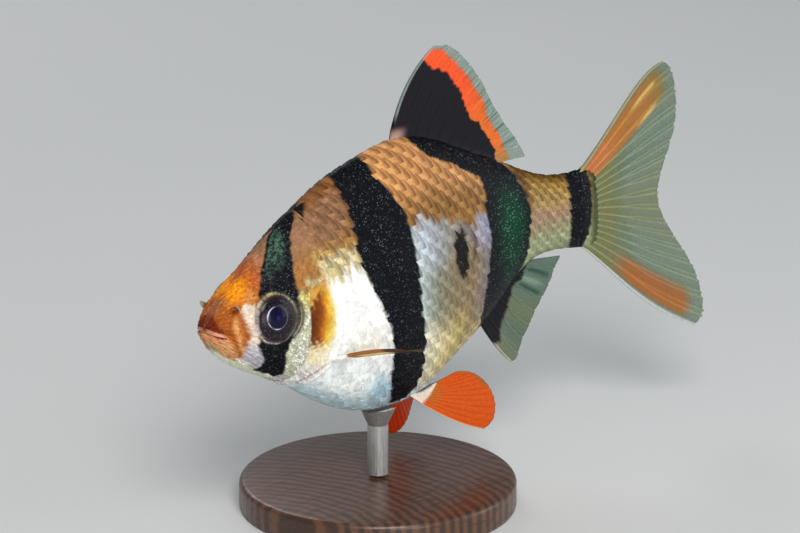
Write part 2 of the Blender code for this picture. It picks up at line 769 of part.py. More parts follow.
def make_pectorals(group, finish):
    """Breast fins, held out like low wings just behind the gill covers."""
    for side, name in ((-1, "pectoral_fin_left"), (1, "pectoral_fin_right")):
        root = [(0.263, side * 0.0985, -0.087), (0.273, side * 0.0995, -0.0905),
                (0.284, side * 0.1010, -0.094)]
        edge = [(0.368, side * 0.160, -0.092), (0.391, side * 0.165, -0.098), (0.411, side * 0.153, -0.104),
                (0.421, side * 0.135, -0.110), (0.417, side * 0.119, -0.115)]
        paired_fin(name, root, edge, 9, 8, group, finish, bow=(0, 0, 0.006))


def make_stand(group, cutters, base_finish, rod_finish):
    """Round base and one short rod with a small cup that fits the belly."""
    turned("stand_base", [(0, BASE_HEIGHT), (BASE_RADIUS - BASE_BEVEL, BASE_HEIGHT),
                          (BASE_RADIUS, BASE_HEIGHT - BASE_BEVEL), (BASE_RADIUS, 0), (0, 0)],
           group, base_finish, 64)
    top = BELLY_HEIGHT + CUP_HEIGHT
    low = BELLY_HEIGHT - CUP_HEIGHT
    foot = BASE_HEIGHT + GAP
    profile = [(0, top), (CUP_RADIUS, top), (CUP_RADIUS, BELLY_HEIGHT), (ROD_RADIUS, low),
               (ROD_RADIUS, foot), (0, foot)]
    rod = turned("stand_rod", profile, group, rod_finish, 24)
    angles = np.linspace(0, 2 * math.pi, 2 * AROUND, endpoint=False)
    reach = 2.2 * CUP_RADIUS / STANDARD_LENGTH
    stations = np.linspace(ROD_STATION - reach, ROD_STATION + reach, 9)[:, None] + 0 * angles[None, :]
    belly = loft("belly_cutter", stations, angles, cutters, rise=REL_GAP)
    boolean(rod, [belly], "DIFFERENCE")
    keep_largest(rod)


def build():
    """Make the whole model."""
    for old in list(bpy.data.objects):
        bpy.data.objects.remove(old)
    fish = collection("banded_barb")
    cutters = collection("cutters")
    make_head(fish, cutters, material("head", (0.62, 0.28, 0.08), 0.35))
    cover = material("gill_cover", (0.72, 0.42, 0.16), 0.30)
    make_gill_cover("gill_cover_left", -1, fish, cover)
    make_gill_cover("gill_cover_right", 1, fish, cover)
    eye = material("eye", (0.02, 0.02, 0.03), 0.08)
    eyeball("eye_left", -1, 0.0, fish, eye)
    eyeball("eye_right", 1, 0.0, fish, eye)
    make_torso(fish, material("torso", (0.70, 0.52, 0.32), 0.35))
    make_tail_stalk(fish, material("tail_stalk", (0.55, 0.40, 0.25), 0.35))
    make_dorsal(fish, material("dorsal_fin", (0.05, 0.04, 0.04), 0.45))
    make_anal(fish, material("anal_fin", (0.12, 0.16, 0.14), 0.45))
    make_caudal(fish, material("caudal_fin", (0.45, 0.48, 0.40), 0.40))
    make_pelvics(fish, material("pelvic_fins", (0.85, 0.22, 0.03), 0.40))
    make_pectorals(fish, material("pectoral_fins", (0.60, 0.50, 0.38), 0.40))
    make_stand(fish, cutters, material("stand_base", (0.10, 0.06, 0.04), 0.45),
               material("stand_rod", (0.60, 0.60, 0.60), 0.30, 1.0))
    bpy.data.collections.remove(cutters)


build()
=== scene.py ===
"""Looks of a banded barb on its display stand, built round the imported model.

Fish space is straight and in standard lengths (snout to tail root = 1): s runs to the tail,
y to the fish's right, z up. An angle on the body is measured down its side, 0 at the back and
180 at the belly. place() bends a point along the spine, tips the fish head-down and sets it
over the stand, in metres.
"""
import math

import bpy
import numpy as np
from mathutils import Matrix, Vector


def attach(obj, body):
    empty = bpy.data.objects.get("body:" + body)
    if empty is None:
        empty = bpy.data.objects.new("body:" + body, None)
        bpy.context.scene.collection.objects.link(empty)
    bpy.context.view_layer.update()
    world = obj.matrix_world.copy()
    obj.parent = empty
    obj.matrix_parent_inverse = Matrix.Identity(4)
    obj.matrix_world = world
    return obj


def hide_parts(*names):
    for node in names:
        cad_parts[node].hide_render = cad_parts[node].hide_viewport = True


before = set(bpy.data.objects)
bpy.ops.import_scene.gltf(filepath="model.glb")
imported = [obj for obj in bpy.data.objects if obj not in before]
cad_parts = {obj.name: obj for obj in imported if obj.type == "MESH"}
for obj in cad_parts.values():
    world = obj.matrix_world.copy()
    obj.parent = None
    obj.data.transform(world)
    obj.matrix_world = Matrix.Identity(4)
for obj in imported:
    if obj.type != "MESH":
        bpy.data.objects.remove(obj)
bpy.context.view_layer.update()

# Driving dimensions of the solids, in metres and degrees
STANDARD_LENGTH = 0.046
BASE_RADIUS = 0.0120
BASE_HEIGHT = 0.0025
BASE_ROUND = 0.0005
FOOT_ROUND = 0.00025
ROD_HOLE = 0.0011
BELLY_CLEARANCE = 0.0064
PITCH = math.radians(2.7)
TAIL_FLICK = math.radians(-10.0)
TAIL_RETURN = math.radians(11.0)
ROD_STATION = 0.43

SNOUT_START = 0.018
SNOUT_HEIGHT = 0.009
SNOUT_ROUND = 0.040
SNOUT_POWER = 2.4
TAIL_ROOT = 1.004
TAIL_ROOT_HOLLOW = 0.026

# Skin: rings of the head and of the body, points round each ring, depth of the scale coat
HEAD_RINGS = 176
BODY_RINGS = 140
AROUND = 288
COAT = 0.0030
HEAD_CROWDING = 1.6
TIP_STEP = 0.0003
GILL_STEP = 0.0006
SKIN_PAST_ROOT = 0.022
TAPER_SHARE = 0.75
TAPER = (0.955, 1.030)

# Scales: length and height of one row's step at the trunk, and at the tail
SCALE_LENGTH = 0.0336
SCALE_LENGTH_TAIL = 0.0250
SCALE_ROW = 0.0330
SCALE_ROW_TAIL = 0.0215
SCALE_LEAN = 0.50
SCALE_COLUMNS = 13
SCALE_LINES = 10
SCALE_HALF = 0.57
SCALE_SINK = 0.0030
SCALE_SPLIT = 0.50
MARKING_HOLD = 0.22
PATCH = 0.003

# Edges sharper than this stay sharp; steps along and round a surface that give its slope
SHARP_ANGLE = math.radians(50)
SLOPE_STEP = 0.0004
SLOPE_TURN = 0.02


def spline(points):
    """Natural cubic spline through (position, value) pairs, as a function of an array."""
    x, y = np.array(points, dtype=float).T
    count = len(x)
    h = np.diff(x)
    matrix = np.eye(count)
    right = np.zeros(count)
    for i in range(1, count - 1):
        matrix[i, i - 1:i + 2] = (h[i - 1], 2 * (h[i - 1] + h[i]), h[i])
        right[i] = 6 * ((y[i + 1] - y[i]) / h[i] - (y[i] - y[i - 1]) / h[i - 1])
    second = np.linalg.solve(matrix, right)

    def value(at):
        at = np.asarray(at, dtype=float)
        i = np.clip(np.searchsorted(x, at) - 1, 0, count - 2)
        a = x[i + 1] - at
        b = at - x[i]
        cubic = (second[i] * a ** 3 + second[i + 1] * b ** 3) / (6 * h[i])
        low = (y[i] / h[i] - second[i] * h[i] / 6) * a
        high = (y[i + 1] / h[i] - second[i + 1] * h[i] / 6) * b
        return cubic + low + high

    return value


def line(points):
    """Straight lines through (position, value) pairs, as a function of an array."""
    x, y = np.array(points, dtype=float).T
    return lambda at: np.interp(at, x, y)


def path(points):
    """Smooth path through points in space, as a function of a share 0 to 1 of its chord length."""
    points = np.array(points, dtype=float)
    steps = np.linalg.norm(np.diff(points, axis=0), axis=1)
    share = np.concatenate([[0.0], np.cumsum(steps)]) / steps.sum()
    axes = [spline(list(zip(share, points[:, k]))) for k in range(points.shape[1])]
    return lambda u: np.stack([axis(u) for axis in axes], axis=-1)


def ease(low, high, at):
    """Smooth step from 0 at low to 1 at high."""
    t = np.clip((np.asarray(at, dtype=float) - low) / (high - low), 0, 1)
    return t * t * (3 - 2 * t)


def fade(low, high, at):
    """Smooth step from 1 at low to 0 at high."""
    return 1 - ease(low, high, at)


back_line = spline([
    (0.0, 0.018), (0.03, 0.037), (0.06, 0.059), (0.10, 0.087), (0.15, 0.121), (0.20, 0.155),
    (0.28, 0.198), (0.36, 0.226), (0.43, 0.242), (0.49, 0.250), (0.58, 0.232), (0.68, 0.184),
    (0.78, 0.135), (0.87, 0.092), (0.94, 0.081), (1.01, 0.089)])
belly_line = spline([
    (0.0, -0.016), (0.03, -0.038), (0.06, -0.064), (0.10, -0.092), (0.15, -0.120), (0.20, -0.152),
    (0.28, -0.208), (0.36, -0.245), (0.43, -0.257), (0.50, -0.257), (0.60, -0.212), (0.70, -0.159),
    (0.82, -0.079), (0.90, -0.069), (1.01, -0.090)])
half_width = spline([
    (0.0, 0.031), (0.03, 0.040), (0.06, 0.050), (0.12, 0.070), (0.20, 0.086), (0.28, 0.096),
    (0.40, 0.102), (0.50, 0.099), (0.60, 0.087), (0.70, 0.068), (0.80, 0.049), (0.90, 0.034),
    (0.97, 0.023), (1.01, 0.016)])
WIDEST_HEIGHT = 0.47

gill_opening = spline([
    (0, 0.226), (40, 0.232), (64, 0.243), (92, 0.262), (118, 0.246), (150, 0.203), (180, 0.188)])
cover_front = spline([
    (58, 0.222), (66, 0.208), (80, 0.199), (110, 0.1965), (130, 0.188), (152, 0.176)])
COVER_RISE = 0.0055

EYE_STATION = 0.132
EYE_HEIGHT = 0.0145
EYE_OFF_MIDDLE = 0.0650
EYE_RADIUS = 0.0450
EYE_BULGE = 0.0160
EYE_DEPTH = 0.0430
EYE_TURN = math.radians(6.0)
EYE_TILT = math.radians(9.0)

MOUTH_CORNER = 0.036
mouth_line = spline([(0.018, 0.0014), (0.0215, -0.0018), (0.0265, -0.0042), (0.036, -0.0058)])
LIP_UP = 0.0062
LIP_DOWN = -0.0058

NOSTRIL_STATION = 0.059
NOSTRIL_ANGLE = 46.0
FLAP_STATION = 0.0665
FLAP_SIZE = (0.0014, 0.0080, 0.0112)
FLAP_FAR_FORWARD = 0.011
FLAP_FAR_SIZE = 1.2


def snout_round(s):
    """Share of the full section at station s, rounded over at the tip of the snout."""
    t = np.clip((s - SNOUT_START) / SNOUT_ROUND, 0, 1)
    return (1 - (1 - t) ** SNOUT_POWER) ** (1 / SNOUT_POWER)


def section_heights(s):
    """Heights of the back, the belly and the widest line at a station."""
    share = snout_round(s)
    top = SNOUT_HEIGHT + (back_line(s) - SNOUT_HEIGHT) * share
    low = SNOUT_HEIGHT + (belly_line(s) - SNOUT_HEIGHT) * share
    return top, low, low + WIDEST_HEIGHT * (top - low)


def section(s, angle):
    """Point of the body's surface at station s and an angle down the side from the back."""
    s, angle = np.broadcast_arrays(np.asarray(s, dtype=float), np.asarray(angle, dtype=float))
    share = snout_round(s)
    top, low, widest = section_heights(s)
    up = np.cos(angle)
    side = np.sin(angle)
    ridge = 0.98 + 0.40 * ease(0.07, 0.13, s) - 0.18 * ease(0.20, 0.34, s)
    power = np.where(up > 0, ridge, 0.92)
    y = half_width(s) * share * np.sign(side) * np.abs(side) ** power
    z = widest + np.where(up > 0, top - widest, widest - low) * up
    return np.stack([s, y, z], axis=-1)


def skin_point(s, angle, rise=0.0):
    """Point at a height above the body's surface."""
    s, angle = np.broadcast_arrays(np.asarray(s, dtype=float), np.asarray(angle, dtype=float))
    here = section(s, angle)
    before = np.maximum(s - SLOPE_STEP, SNOUT_START)
    along = section(s + SLOPE_STEP, angle) - section(before, angle)
    around = section(s, angle + SLOPE_TURN) - section(s, angle - SLOPE_TURN)
    normal = np.cross(along, around)
    normal /= np.maximum(np.linalg.norm(normal, axis=-1, keepdims=True), 1e-12)
    return here + normal * np.asarray(rise)[..., None]


def side_width(s, z):
    """Half the width of the body at a station and a height."""
    share = snout_round(s)
    top, low, widest = section_heights(s)
    up = np.where(z > widest, (z - widest) / (top - widest), (z - widest) / (widest - low))
    return half_width(s) * share * np.sqrt(np.clip(1 - up ** 2, 0, 1))


spine_s = np.linspace(-0.1, 1.5, 3001)
spine_angle = TAIL_FLICK * ease(0.72, 0.98, spine_s) + TAIL_RETURN * ease(0.98, 1.22, spine_s)
spine_x = np.cumsum(np.cos(spine_angle)) * (spine_s[1] - spine_s[0])
spine_y = np.cumsum(np.sin(spine_angle)) * (spine_s[1] - spine_s[0])


def bend(points):
    """Bend straight points along the spine and tip the fish head-down."""
    points = np.asarray(points, dtype=float)
    s, y, z = points[..., 0], points[..., 1], points[..., 2]
    angle = np.interp(s, spine_s, spine_angle)
    x = np.interp(s, spine_s, spine_x) - y * np.sin(angle)
    side = np.interp(s, spine_s, spine_y) + y * np.cos(angle)
    tipped_x = x * math.cos(PITCH) - z * math.sin(PITCH)
    tipped_z = x * math.sin(PITCH) + z * math.cos(PITCH)
    return np.stack([tipped_x, side, tipped_z], axis=-1)


BELLY_HEIGHT = BASE_HEIGHT + BELLY_CLEARANCE
held_point = bend([ROD_STATION, 0.0, float(belly_line(ROD_STATION))])
place_shift = np.array([0.0, 0.0, BELLY_HEIGHT]) - held_point * STANDARD_LENGTH


def place(points):
    """World position in metres of straight points given in standard lengths."""
    return bend(points) * STANDARD_LENGTH + place_shift


def tail_root(angle):
    """Station of the rounded rear edge of the tail's flesh."""
    return TAIL_ROOT - TAIL_ROOT_HOLLOW * np.cos(angle) ** 2


def line_distance(points, route):
    """Distance of each point from a chain of straight pieces."""
    nearest = np.full(points.shape[:-1], 1e9)
    for a, b in zip(route[:-1], route[1:]):
        run = b - a
        t = np.clip(((points - a) @ run) / (run @ run), 0, 1)
        gap = np.linalg.norm(points - a - t[..., None] * run, axis=-1)
        nearest = np.minimum(nearest, gap)
    return nearest


def folded(points):
    """The same points with both sides of the fish laid on its right side."""
    return points * np.where(points[..., 1:2] < 0, [1.0, -1.0, 1.0], 1.0)


# Forms of the head, as routes on its right side
def mouth_route(offset, sink):
    """Route round the snout at a height off the mouth's line, from the middle to the corner."""
    fine = np.linspace(SNOUT_START, MOUTH_CORNER, 160)
    height = mouth_line(fine) + offset * (1 - 0.5 * ease(0.6, 1.0, fine / MOUTH_CORNER))
    width = side_width(fine, height)
    first = np.argmax(width > 0)
    share = np.linspace(0, 1, 24) ** 2
    at = fine[first] + (MOUTH_CORNER - fine[first]) * share
    out = np.interp(at, fine, width) * np.where(share > 0, 1, 0) - sink * share
    return np.stack([at, np.maximum(out, 0), np.interp(at, fine, height)], axis=1)


def side_route(points):
    """Route over the head through (station, angle) pairs."""
    smooth = path(points)(np.linspace(0, 1, 24))
    return section(smooth[:, 0], np.radians(smooth[:, 1]))


upper_lip_route = mouth_route(LIP_UP, 0.0)
lower_lip_route = mouth_route(LIP_DOWN, 0.0)
mouth_slit_route = mouth_route(0.0, 0.0)
jaw_fold_route = side_route([(0.0364, 78), (0.0434, 93), (0.0534, 112), (0.063, 129), (0.067, 142)])
cheek_fold_route = side_route([(0.048, 60), (0.059, 80), (0.067, 100), (0.074, 121), (0.080, 140)])
throat_fold_route = side_route([(0.070, 158), (0.110, 160), (0.150, 158), (0.190, 152)])
cover_fold_route = side_route([(0.2455, 118), (0.228, 125), (0.2155, 131), (0.193, 148)])
cover_low_route = side_route([(0.200, 118), (0.215, 121), (0.232, 119), (0.244, 112)])

# Folds of the skin: route, depth and width
JAW_FOLD = (jaw_fold_route, 0.0030, 0.0034)
CHEEK_FOLD = (cheek_fold_route, 0.0010, 0.0034)
THROAT_FOLD = (throat_fold_route, 0.0012, 0.0030)
COVER_FOLD = (cover_fold_route, 0.0020, 0.0022)
COVER_LOW_FOLD = (cover_low_route, 0.0012, 0.0020)

nostril_point = section(NOSTRIL_STATION, math.radians(NOSTRIL_ANGLE))
eye_point = np.array([EYE_STATION, EYE_OFF_MIDDLE, EYE_HEIGHT])
eye_look = np.array([-math.sin(EYE_TURN), math.cos(EYE_TURN), math.sin(EYE_TILT)])
eye_look /= np.linalg.norm(eye_look)


def eye_radius_at(points):
    """Distance of points, laid on the right side, from the axis of the eye."""
    gap = points - eye_point
    along = gap @ eye_look
    return np.linalg.norm(gap - along[..., None] * eye_look, axis=-1) + 1.0 * (along < -0.03)


def eye_angle_at(points):
    """Angle round the eye of points laid on the right side, 0 in front of it and 90 above it."""
    gap = points - eye_point
    return np.degrees(np.arctan2(gap[..., 2], -gap[..., 0]))


def bump(distance, width):
    """Soft round bump of height 1 and a width."""
    return np.exp(-(distance / width) ** 2)


def fold(points, route, depth, width):
    """Depth of a fold along a route."""
    return depth * bump(line_distance(points, route), width)


def head_relief(s, angle):
    """Height of the forms of the head above its plain section."""
    points = folded(section(s, angle))
    degrees = np.degrees(np.arccos(np.cos(angle)))
    eye = eye_radius_at(points)
    rise = -0.0120 * fade(0.0415, 0.0440, eye)
    rise = rise + 0.0014 * bump(eye - 0.0485, 0.0040) - 0.0004 * bump(eye - 0.0580, 0.0030)
    rise = (rise + 0.0010 * wobble(s, degrees, 0.0030, 31) * ease(0.046, 0.052, eye)
            * fade(0.20, 0.24, s))
    upper = line_distance(points, upper_lip_route)
    lower = line_distance(points, lower_lip_route)
    slit = line_distance(points, mouth_slit_route)
    tip = 0.40 + 0.60 * ease(0.020, 0.029, s)
    rise = rise + tip * (0.0014 * bump(upper, 0.0028) + 0.0016 * bump(lower, 0.0042))
    rise = rise - 0.0036 * tip * bump(slit, 0.0014)
    for form in (JAW_FOLD, CHEEK_FOLD, THROAT_FOLD):
        rise = rise - fold(points, *form)
    hole = np.linalg.norm(points - nostril_point, axis=-1)
    rise = rise + 0.0014 * bump(hole - 0.0054, 0.0020) - 0.0056 * bump(hole, 0.0028)
    on_cover = ease(56, 64, degrees) * fade(148, 156, degrees)
    front = cover_front(np.clip(degrees, 58, 152))
    rise = rise - 0.0016 * bump(s - front, 0.0022) * on_cover
    behind = np.clip((s - front) / (gill_opening(degrees) - front), 0, 1)
    rise = rise + COVER_RISE * on_cover * ease(0.0, 0.35, behind) * (0.35 + 0.65 * behind)
    return rise - fold(points, *COVER_FOLD) - fold(points, *COVER_LOW_FOLD)


# Colours, as they look in plain light, and some that stand in for painted light and shade
def tone(red, green, blue):
    """Linear colour of display values 0 to 255."""
    value = np.array([red, green, blue]) / 255
    return np.where(value <= 0.04045, value / 12.92, ((value + 0.055) / 1.055) ** 2.4)


BLACK = tone(5, 6, 12)
BAND_GREY = tone(62, 66, 78)
PALE_GLINT = tone(122, 130, 136)
GREEN_DEEP = tone(6, 56, 36)
GREEN_GLINT = tone(112, 214, 156)
CROWN_GREEN = tone(64, 96, 78)
NAPE_RUST = tone(146, 92, 46)
NAPE_PINK = tone(154, 110, 78)
NAPE_GOLD = tone(164, 118, 62)
BACK_ORANGE = tone(214, 156, 98)
BACK_BROWN = tone(206, 150, 96)
FLANK_BROWN = tone(152, 112, 62)
BELLY_GOLD = tone(204, 182, 128)
PEARL = tone(200, 222, 230)
WHITE = tone(255, 255, 250)
BREAST = tone(250, 255, 252)
BLUE_BREAST = tone(168, 204, 220)
TAIL_BASE = tone(74, 82, 50)
SNOUT_BROWN = tone(164, 84, 26)
SNOUT_ORANGE = tone(254, 154, 6)
FOREHEAD = tone(182, 94, 30)
FOREHEAD_EDGE = tone(160, 94, 58)
CHIN_SALMON = tone(208, 152, 102)
CHIN_PAINTED_LIGHT = tone(230, 232, 206)
MAROON = tone(104, 30, 18)
LIP_PINK = tone(236, 168, 142)
LOWER_LIP = tone(234, 154, 112)
MOUTH_SHADE = tone(104, 32, 22)
FOLD_ORANGE_SHADE = tone(160, 82, 12)
CHEEK_WHITE = tone(240, 220, 202)
LILAC = tone(186, 182, 190)
OLIVE_SILVER = tone(222, 224, 196)
YELLOW = tone(232, 220, 116)
THROAT = tone(214, 206, 204)
RIM_DARK = (0.40, 0.34, 0.30)
BREAST_GREY = tone(196, 202, 206)
SHOULDER_OLIVE = tone(208, 186, 116)
STALK_SHADE = tone(92, 56, 32)
COVER_LOW = tone(232, 226, 224)
CROWN_RUST = tone(196, 84, 30)
BROW_TAN = tone(226, 158, 84)
FOREHEAD_PINK_HIGHLIGHT = tone(196, 140, 112)
RIDGE_BROWN = tone(138, 72, 54)
SNOUT_TAN = tone(136, 90, 64)
JAW_LIGHT = tone(238, 172, 104)
CHEEK_FLECK = tone(228, 170, 120)
CHIN_OLIVE = tone(122, 112, 58)
TEMPLE_SPOT = tone(164, 84, 28)
LOW_SILVER = tone(226, 228, 214)
FOLD_PINK = tone(190, 158, 154)
SPOT_HALO = tone(70, 56, 38)
SPOT_BROWN = tone(60, 44, 30)
NOSTRIL_RIM = tone(150, 58, 24)
NOSTRIL_SHADE = tone(46, 18, 10)
SOCKET_SHADE = tone(22, 16, 20)
EYE_SHADOW = tone(36, 28, 32)


def ramp(at, stops):
    """Colour field that runs through (position, colour) or (position, red, green, blue) stops."""
    stops = [stop if len(stop) == 2 else (stop[0], tone(*stop[1:])) for stop in stops]
    places = [stop[0] for stop in stops]
    return np.stack([np.interp(at, places, [stop[1][k] for stop in stops]) for k in range(3)],
                    axis=-1)


def mix(low, high, share):
    """Blend of two colours or colour fields by a share for each point."""
    return low + (high - low) * np.clip(share, 0, 1)[..., None]


def layered(colour, *layers):
    """Colour field with (colour, share) layers laid over it, one after the other."""
    for over, share in layers:
        colour = mix(colour, over, share)
    return colour


def oval(s, degrees, at, reach):
    """Soft oval mask round a (station, angle) with half lengths reach."""
    d = ((s - at[0]) / reach[0]) ** 2 + ((degrees - at[1]) / reach[1]) ** 2
    return np.exp(-1.4 * d ** 1.5)


def wobble(s, degrees, size, seed):
    """Smooth irregular field between about -1 and 1."""
    draw = np.random.default_rng(seed)
    total = np.zeros(np.shape(s))
    for _ in range(6):
        fs, fd, phase = draw.uniform(0.5, 1.6), draw.uniform(-1.3, 1.3), draw.uniform(0, 6.3)
        total = total + np.sin(fs * s / size + fd * degrees / (330 * size) + phase)
    return total / 3


band1_front = line([
    (0, 0.175), (8, 0.168), (15, 0.160), (23, 0.1455), (31, 0.130), (39, 0.1235), (43, 0.117),
    (50, 0.108), (60, 0.101), (90, 0.094), (105, 0.0905), (115, 0.097), (122, 0.105), (134, 0.110),
    (144, 0.104), (156, 0.100)])
band1_rear = line([
    (0, 0.240), (10, 0.237), (18, 0.224), (25, 0.208), (33, 0.1985), (45, 0.187), (54, 0.180),
    (61, 0.178), (68, 0.179), (77, 0.175), (86, 0.167), (97, 0.158), (110, 0.151), (120, 0.148),
    (130, 0.154), (142, 0.158), (156, 0.150)])
band2_front = line([
    (0, 0.330), (20, 0.323), (45, 0.322), (60, 0.314), (70, 0.323), (80, 0.341), (90, 0.360),
    (100, 0.379), (110, 0.386), (130, 0.393), (145, 0.407), (160, 0.420)])
band2_rear = line([
    (0, 0.403), (20, 0.403), (30, 0.407), (40, 0.422), (50, 0.438), (60, 0.447), (80, 0.454),
    (100, 0.463), (112, 0.473), (130, 0.478), (142, 0.477), (152, 0.466), (160, 0.450)])
band3_front = line([
    (0, 0.512), (14, 0.520), (22, 0.530), (28, 0.548), (33, 0.585), (37, 0.640), (41, 0.668),
    (50, 0.674), (62, 0.662), (80, 0.670), (95, 0.660), (115, 0.651), (135, 0.652), (160, 0.662),
    (180, 0.672)])
band3_rear = line([
    (0, 0.752), (12, 0.758), (22, 0.770), (32, 0.784), (45, 0.790), (58, 0.800), (75, 0.806),
    (95, 0.799), (120, 0.797), (135, 0.792), (180, 0.785)])
band4_front = line([(0, 0.928), (40, 0.922), (100, 0.921), (140, 0.924), (180, 0.930)])
band4_rear = line([(0, 0.974), (40, 0.984), (75, 0.990), (105, 0.986), (140, 0.968), (180, 0.964)])


def between(s, degrees, front, rear, soft):
    """Mask of a band between two lines."""
    start = front(degrees)
    stop = rear(degrees)
    return ease(start - soft, start + soft, s) * fade(stop - soft, stop + soft, s)


def trunk_colour(s, d):
    """Colour of the trunk and the tail's stalk without their bands."""
    rough = wobble(s, d, 0.012, 3)
    fine = wobble(s, d, 0.0035, 4)
    edge = d + 2.5 * rough
    ragged = edge + 3.0 * fine
    along = s + 0.004 * fine
    back = ramp(along, [
        (0.20, NAPE_RUST), (0.33, NAPE_RUST), (0.42, BACK_ORANGE), (0.60, BACK_BROWN)])
    pink = ease(10, 22, ragged) * fade(0.33, 0.41, s)
    back = layered(
        back,
        (NAPE_PINK, pink),
        (NAPE_GOLD, ease(42, 56, ragged) * fade(0.33, 0.41, s)),
        (FLANK_BROWN, ease(38, 58, edge) * ease(0.36, 0.44, s)))
    high = ramp(along, [
        (0.44, 200, 210, 216), (0.475, 188, 198, 208), (0.51, 162, 168, 172),
        (0.55, 150, 146, 138), (0.60, 152, 144, 136), (0.635, 164, 160, 172),
        (0.665, 156, 154, 180)])
    wide = ramp(along, [
        (0.44, 196, 210, 208), (0.475, 176, 188, 182), (0.505, 142, 142, 122),
        (0.55, 140, 126, 98), (0.61, 148, 128, 98), (0.645, 138, 126, 120),
        (0.67, 134, 128, 140)])
    low = ramp(along, [
        (0.45, 230, 232, 216), (0.50, 228, 220, 186), (0.535, 230, 214, 156),
        (0.575, 204, 184, 118), (0.605, 168, 150, 102), (0.65, 146, 136, 118)])
    middle = mix(high, wide, ease(74, 88, edge))
    middle = layered(
        middle,
        (low, ease(100, 122, edge - 90 * (s - 0.52))),
        (BELLY_GOLD, ease(128, 144, edge) * ease(0.52, 0.58, s)),
        (PEARL, ease(146, 160, edge + 40 * (0.6 - s))))
    border = line([(0.42, 57), (0.47, 59), (0.52, 64), (0.56, 67), (0.60, 68), (0.67, 65)])(s)
    colour = mix(back, middle, ease(border - 2, border + 2, edge + 1.5 * fine))
    pale = mix(WHITE + 0 * s[..., None], BREAST, ease(112, 126, edge))
    pale = layered(
        pale,
        (BLUE_BREAST, ease(122, 138, ragged) * ease(0.325, 0.365, s)),
        (BREAST_GREY, 0.5 * ease(0.1, 0.8, fine) * ease(120, 134, edge)),
        (PEARL, ease(140, 156, edge + 30 * (s - 0.3))))
    upper_edge = line([(0.22, 66), (0.27, 69), (0.32, 69), (0.345, 78), (0.40, 90)])(s)
    teeth = edge + 4.5 * wobble(s, 0.15 * d, 0.0026, 5)
    pale_share = ease(upper_edge - 4, upper_edge + 4, teeth) * fade(0.40, 0.44, s)
    olive = ease(upper_edge - 20, upper_edge - 6, ragged) * fade(0.33, 0.40, s)
    colour = layered(
        colour,
        (SHOULDER_OLIVE, 0.85 * olive),
        (pale, pale_share))
    stalk = ramp(edge, [
        (4, 84, 62, 22), (22, 122, 90, 36), (42, 172, 138, 72), (66, 172, 144, 92),
        (82, 166, 136, 112), (98, 162, 152, 118), (118, 168, 176, 138), (160, 154, 164, 126)])
    colour = mix(colour, stalk, ease(0.74, 0.80, s))
    # Painted shade on the stalk's side just behind the third band
    shade = (fade(0.803, 0.822, along) * ease(0.77, 0.79, s) * ease(16, 30, edge)
             * fade(66, 80, edge))
    colour = mix(colour, STALK_SHADE, 0.75 * shade)
    return mix(colour, TAIL_BASE, ease(0.975, 1.0, s))


def cover_colour(s, d, rough, fine):
    """Colour of the gill cover: rust in front, golden behind it and white at its edge."""
    lean = line([(66, -0.012), (76, -0.003), (88, 0.0), (100, 0.005), (114, 0.016)])(d)
    at = s + lean + 0.0020 * rough + 0.0014 * fine
    cover = ramp(at, [
        (0.195, 132, 76, 36), (0.199, 92, 36, 12), (0.208, 112, 50, 12), (0.217, 138, 68, 18),
        (0.224, 190, 114, 30), (0.232, 222, 170, 50), (0.243, 234, 202, 100), (0.256, WHITE)])
    upper = ramp(at, [
        (0.18, 196, 150, 70), (0.21, 200, 142, 58), (0.235, 222, 178, 70),
        (0.255, 236, 226, 176)])
    lower = ramp(at, [
        (0.19, 222, 216, 200), (0.215, 236, 220, 172), (0.245, 246, 238, 210), (0.262, WHITE)])
    high = line([(0.196, 9.0), (0.201, 7.0), (0.216, 0.0)])(s)
    cover = layered(
        cover,
        (upper, fade(70, 76, d + 3 * fine - high)),
        (lower, ease(104, 114, d + 4 * fine + 80 * (s - 0.207))),
        (COVER_LOW, ease(118, 132, d)))
    return mix(cover, BREAST, ease(138, 150, d))


def rear_head_colour(s, d, points, rough, fine):
    """Colour of the head behind the eye, and the gill cover's mask."""
    rear = mix(NAPE_PINK + 0 * s[..., None], NAPE_GOLD, ease(38, 54, d + 3 * fine))
    spots = ease(0.1, 0.6, wobble(s, d, 0.0026, 9)) * ease(40, 50, d) * fade(68, 78, d)
    rear = mix(rear, TEMPLE_SPOT, 0.75 * spots)
    silver = mix(OLIVE_SILVER + 0 * s[..., None], YELLOW,
                 0.85 * oval(s, d, (0.192, 72), (0.024, 9)))
    silver = layered(
        silver,
        (LOW_SILVER, oval(s, d, (0.176, 116), (0.016, 16))),
        (THROAT, ease(140, 152, d)))
    rear = mix(rear, silver, ease(62, 70, d + 4 * rough))
    edge = cover_front(np.clip(d, 58, 152)) - 0.002
    on_cover = ease(edge - 0.002, edge + 0.002, s) * ease(62, 70, d)
    rear = layered(
        rear,
        (cover_colour(s, d, rough, fine), on_cover),
        (FOLD_PINK, 0.6 * bump(line_distance(points, cover_fold_route), 0.0040)))
    return rear, on_cover


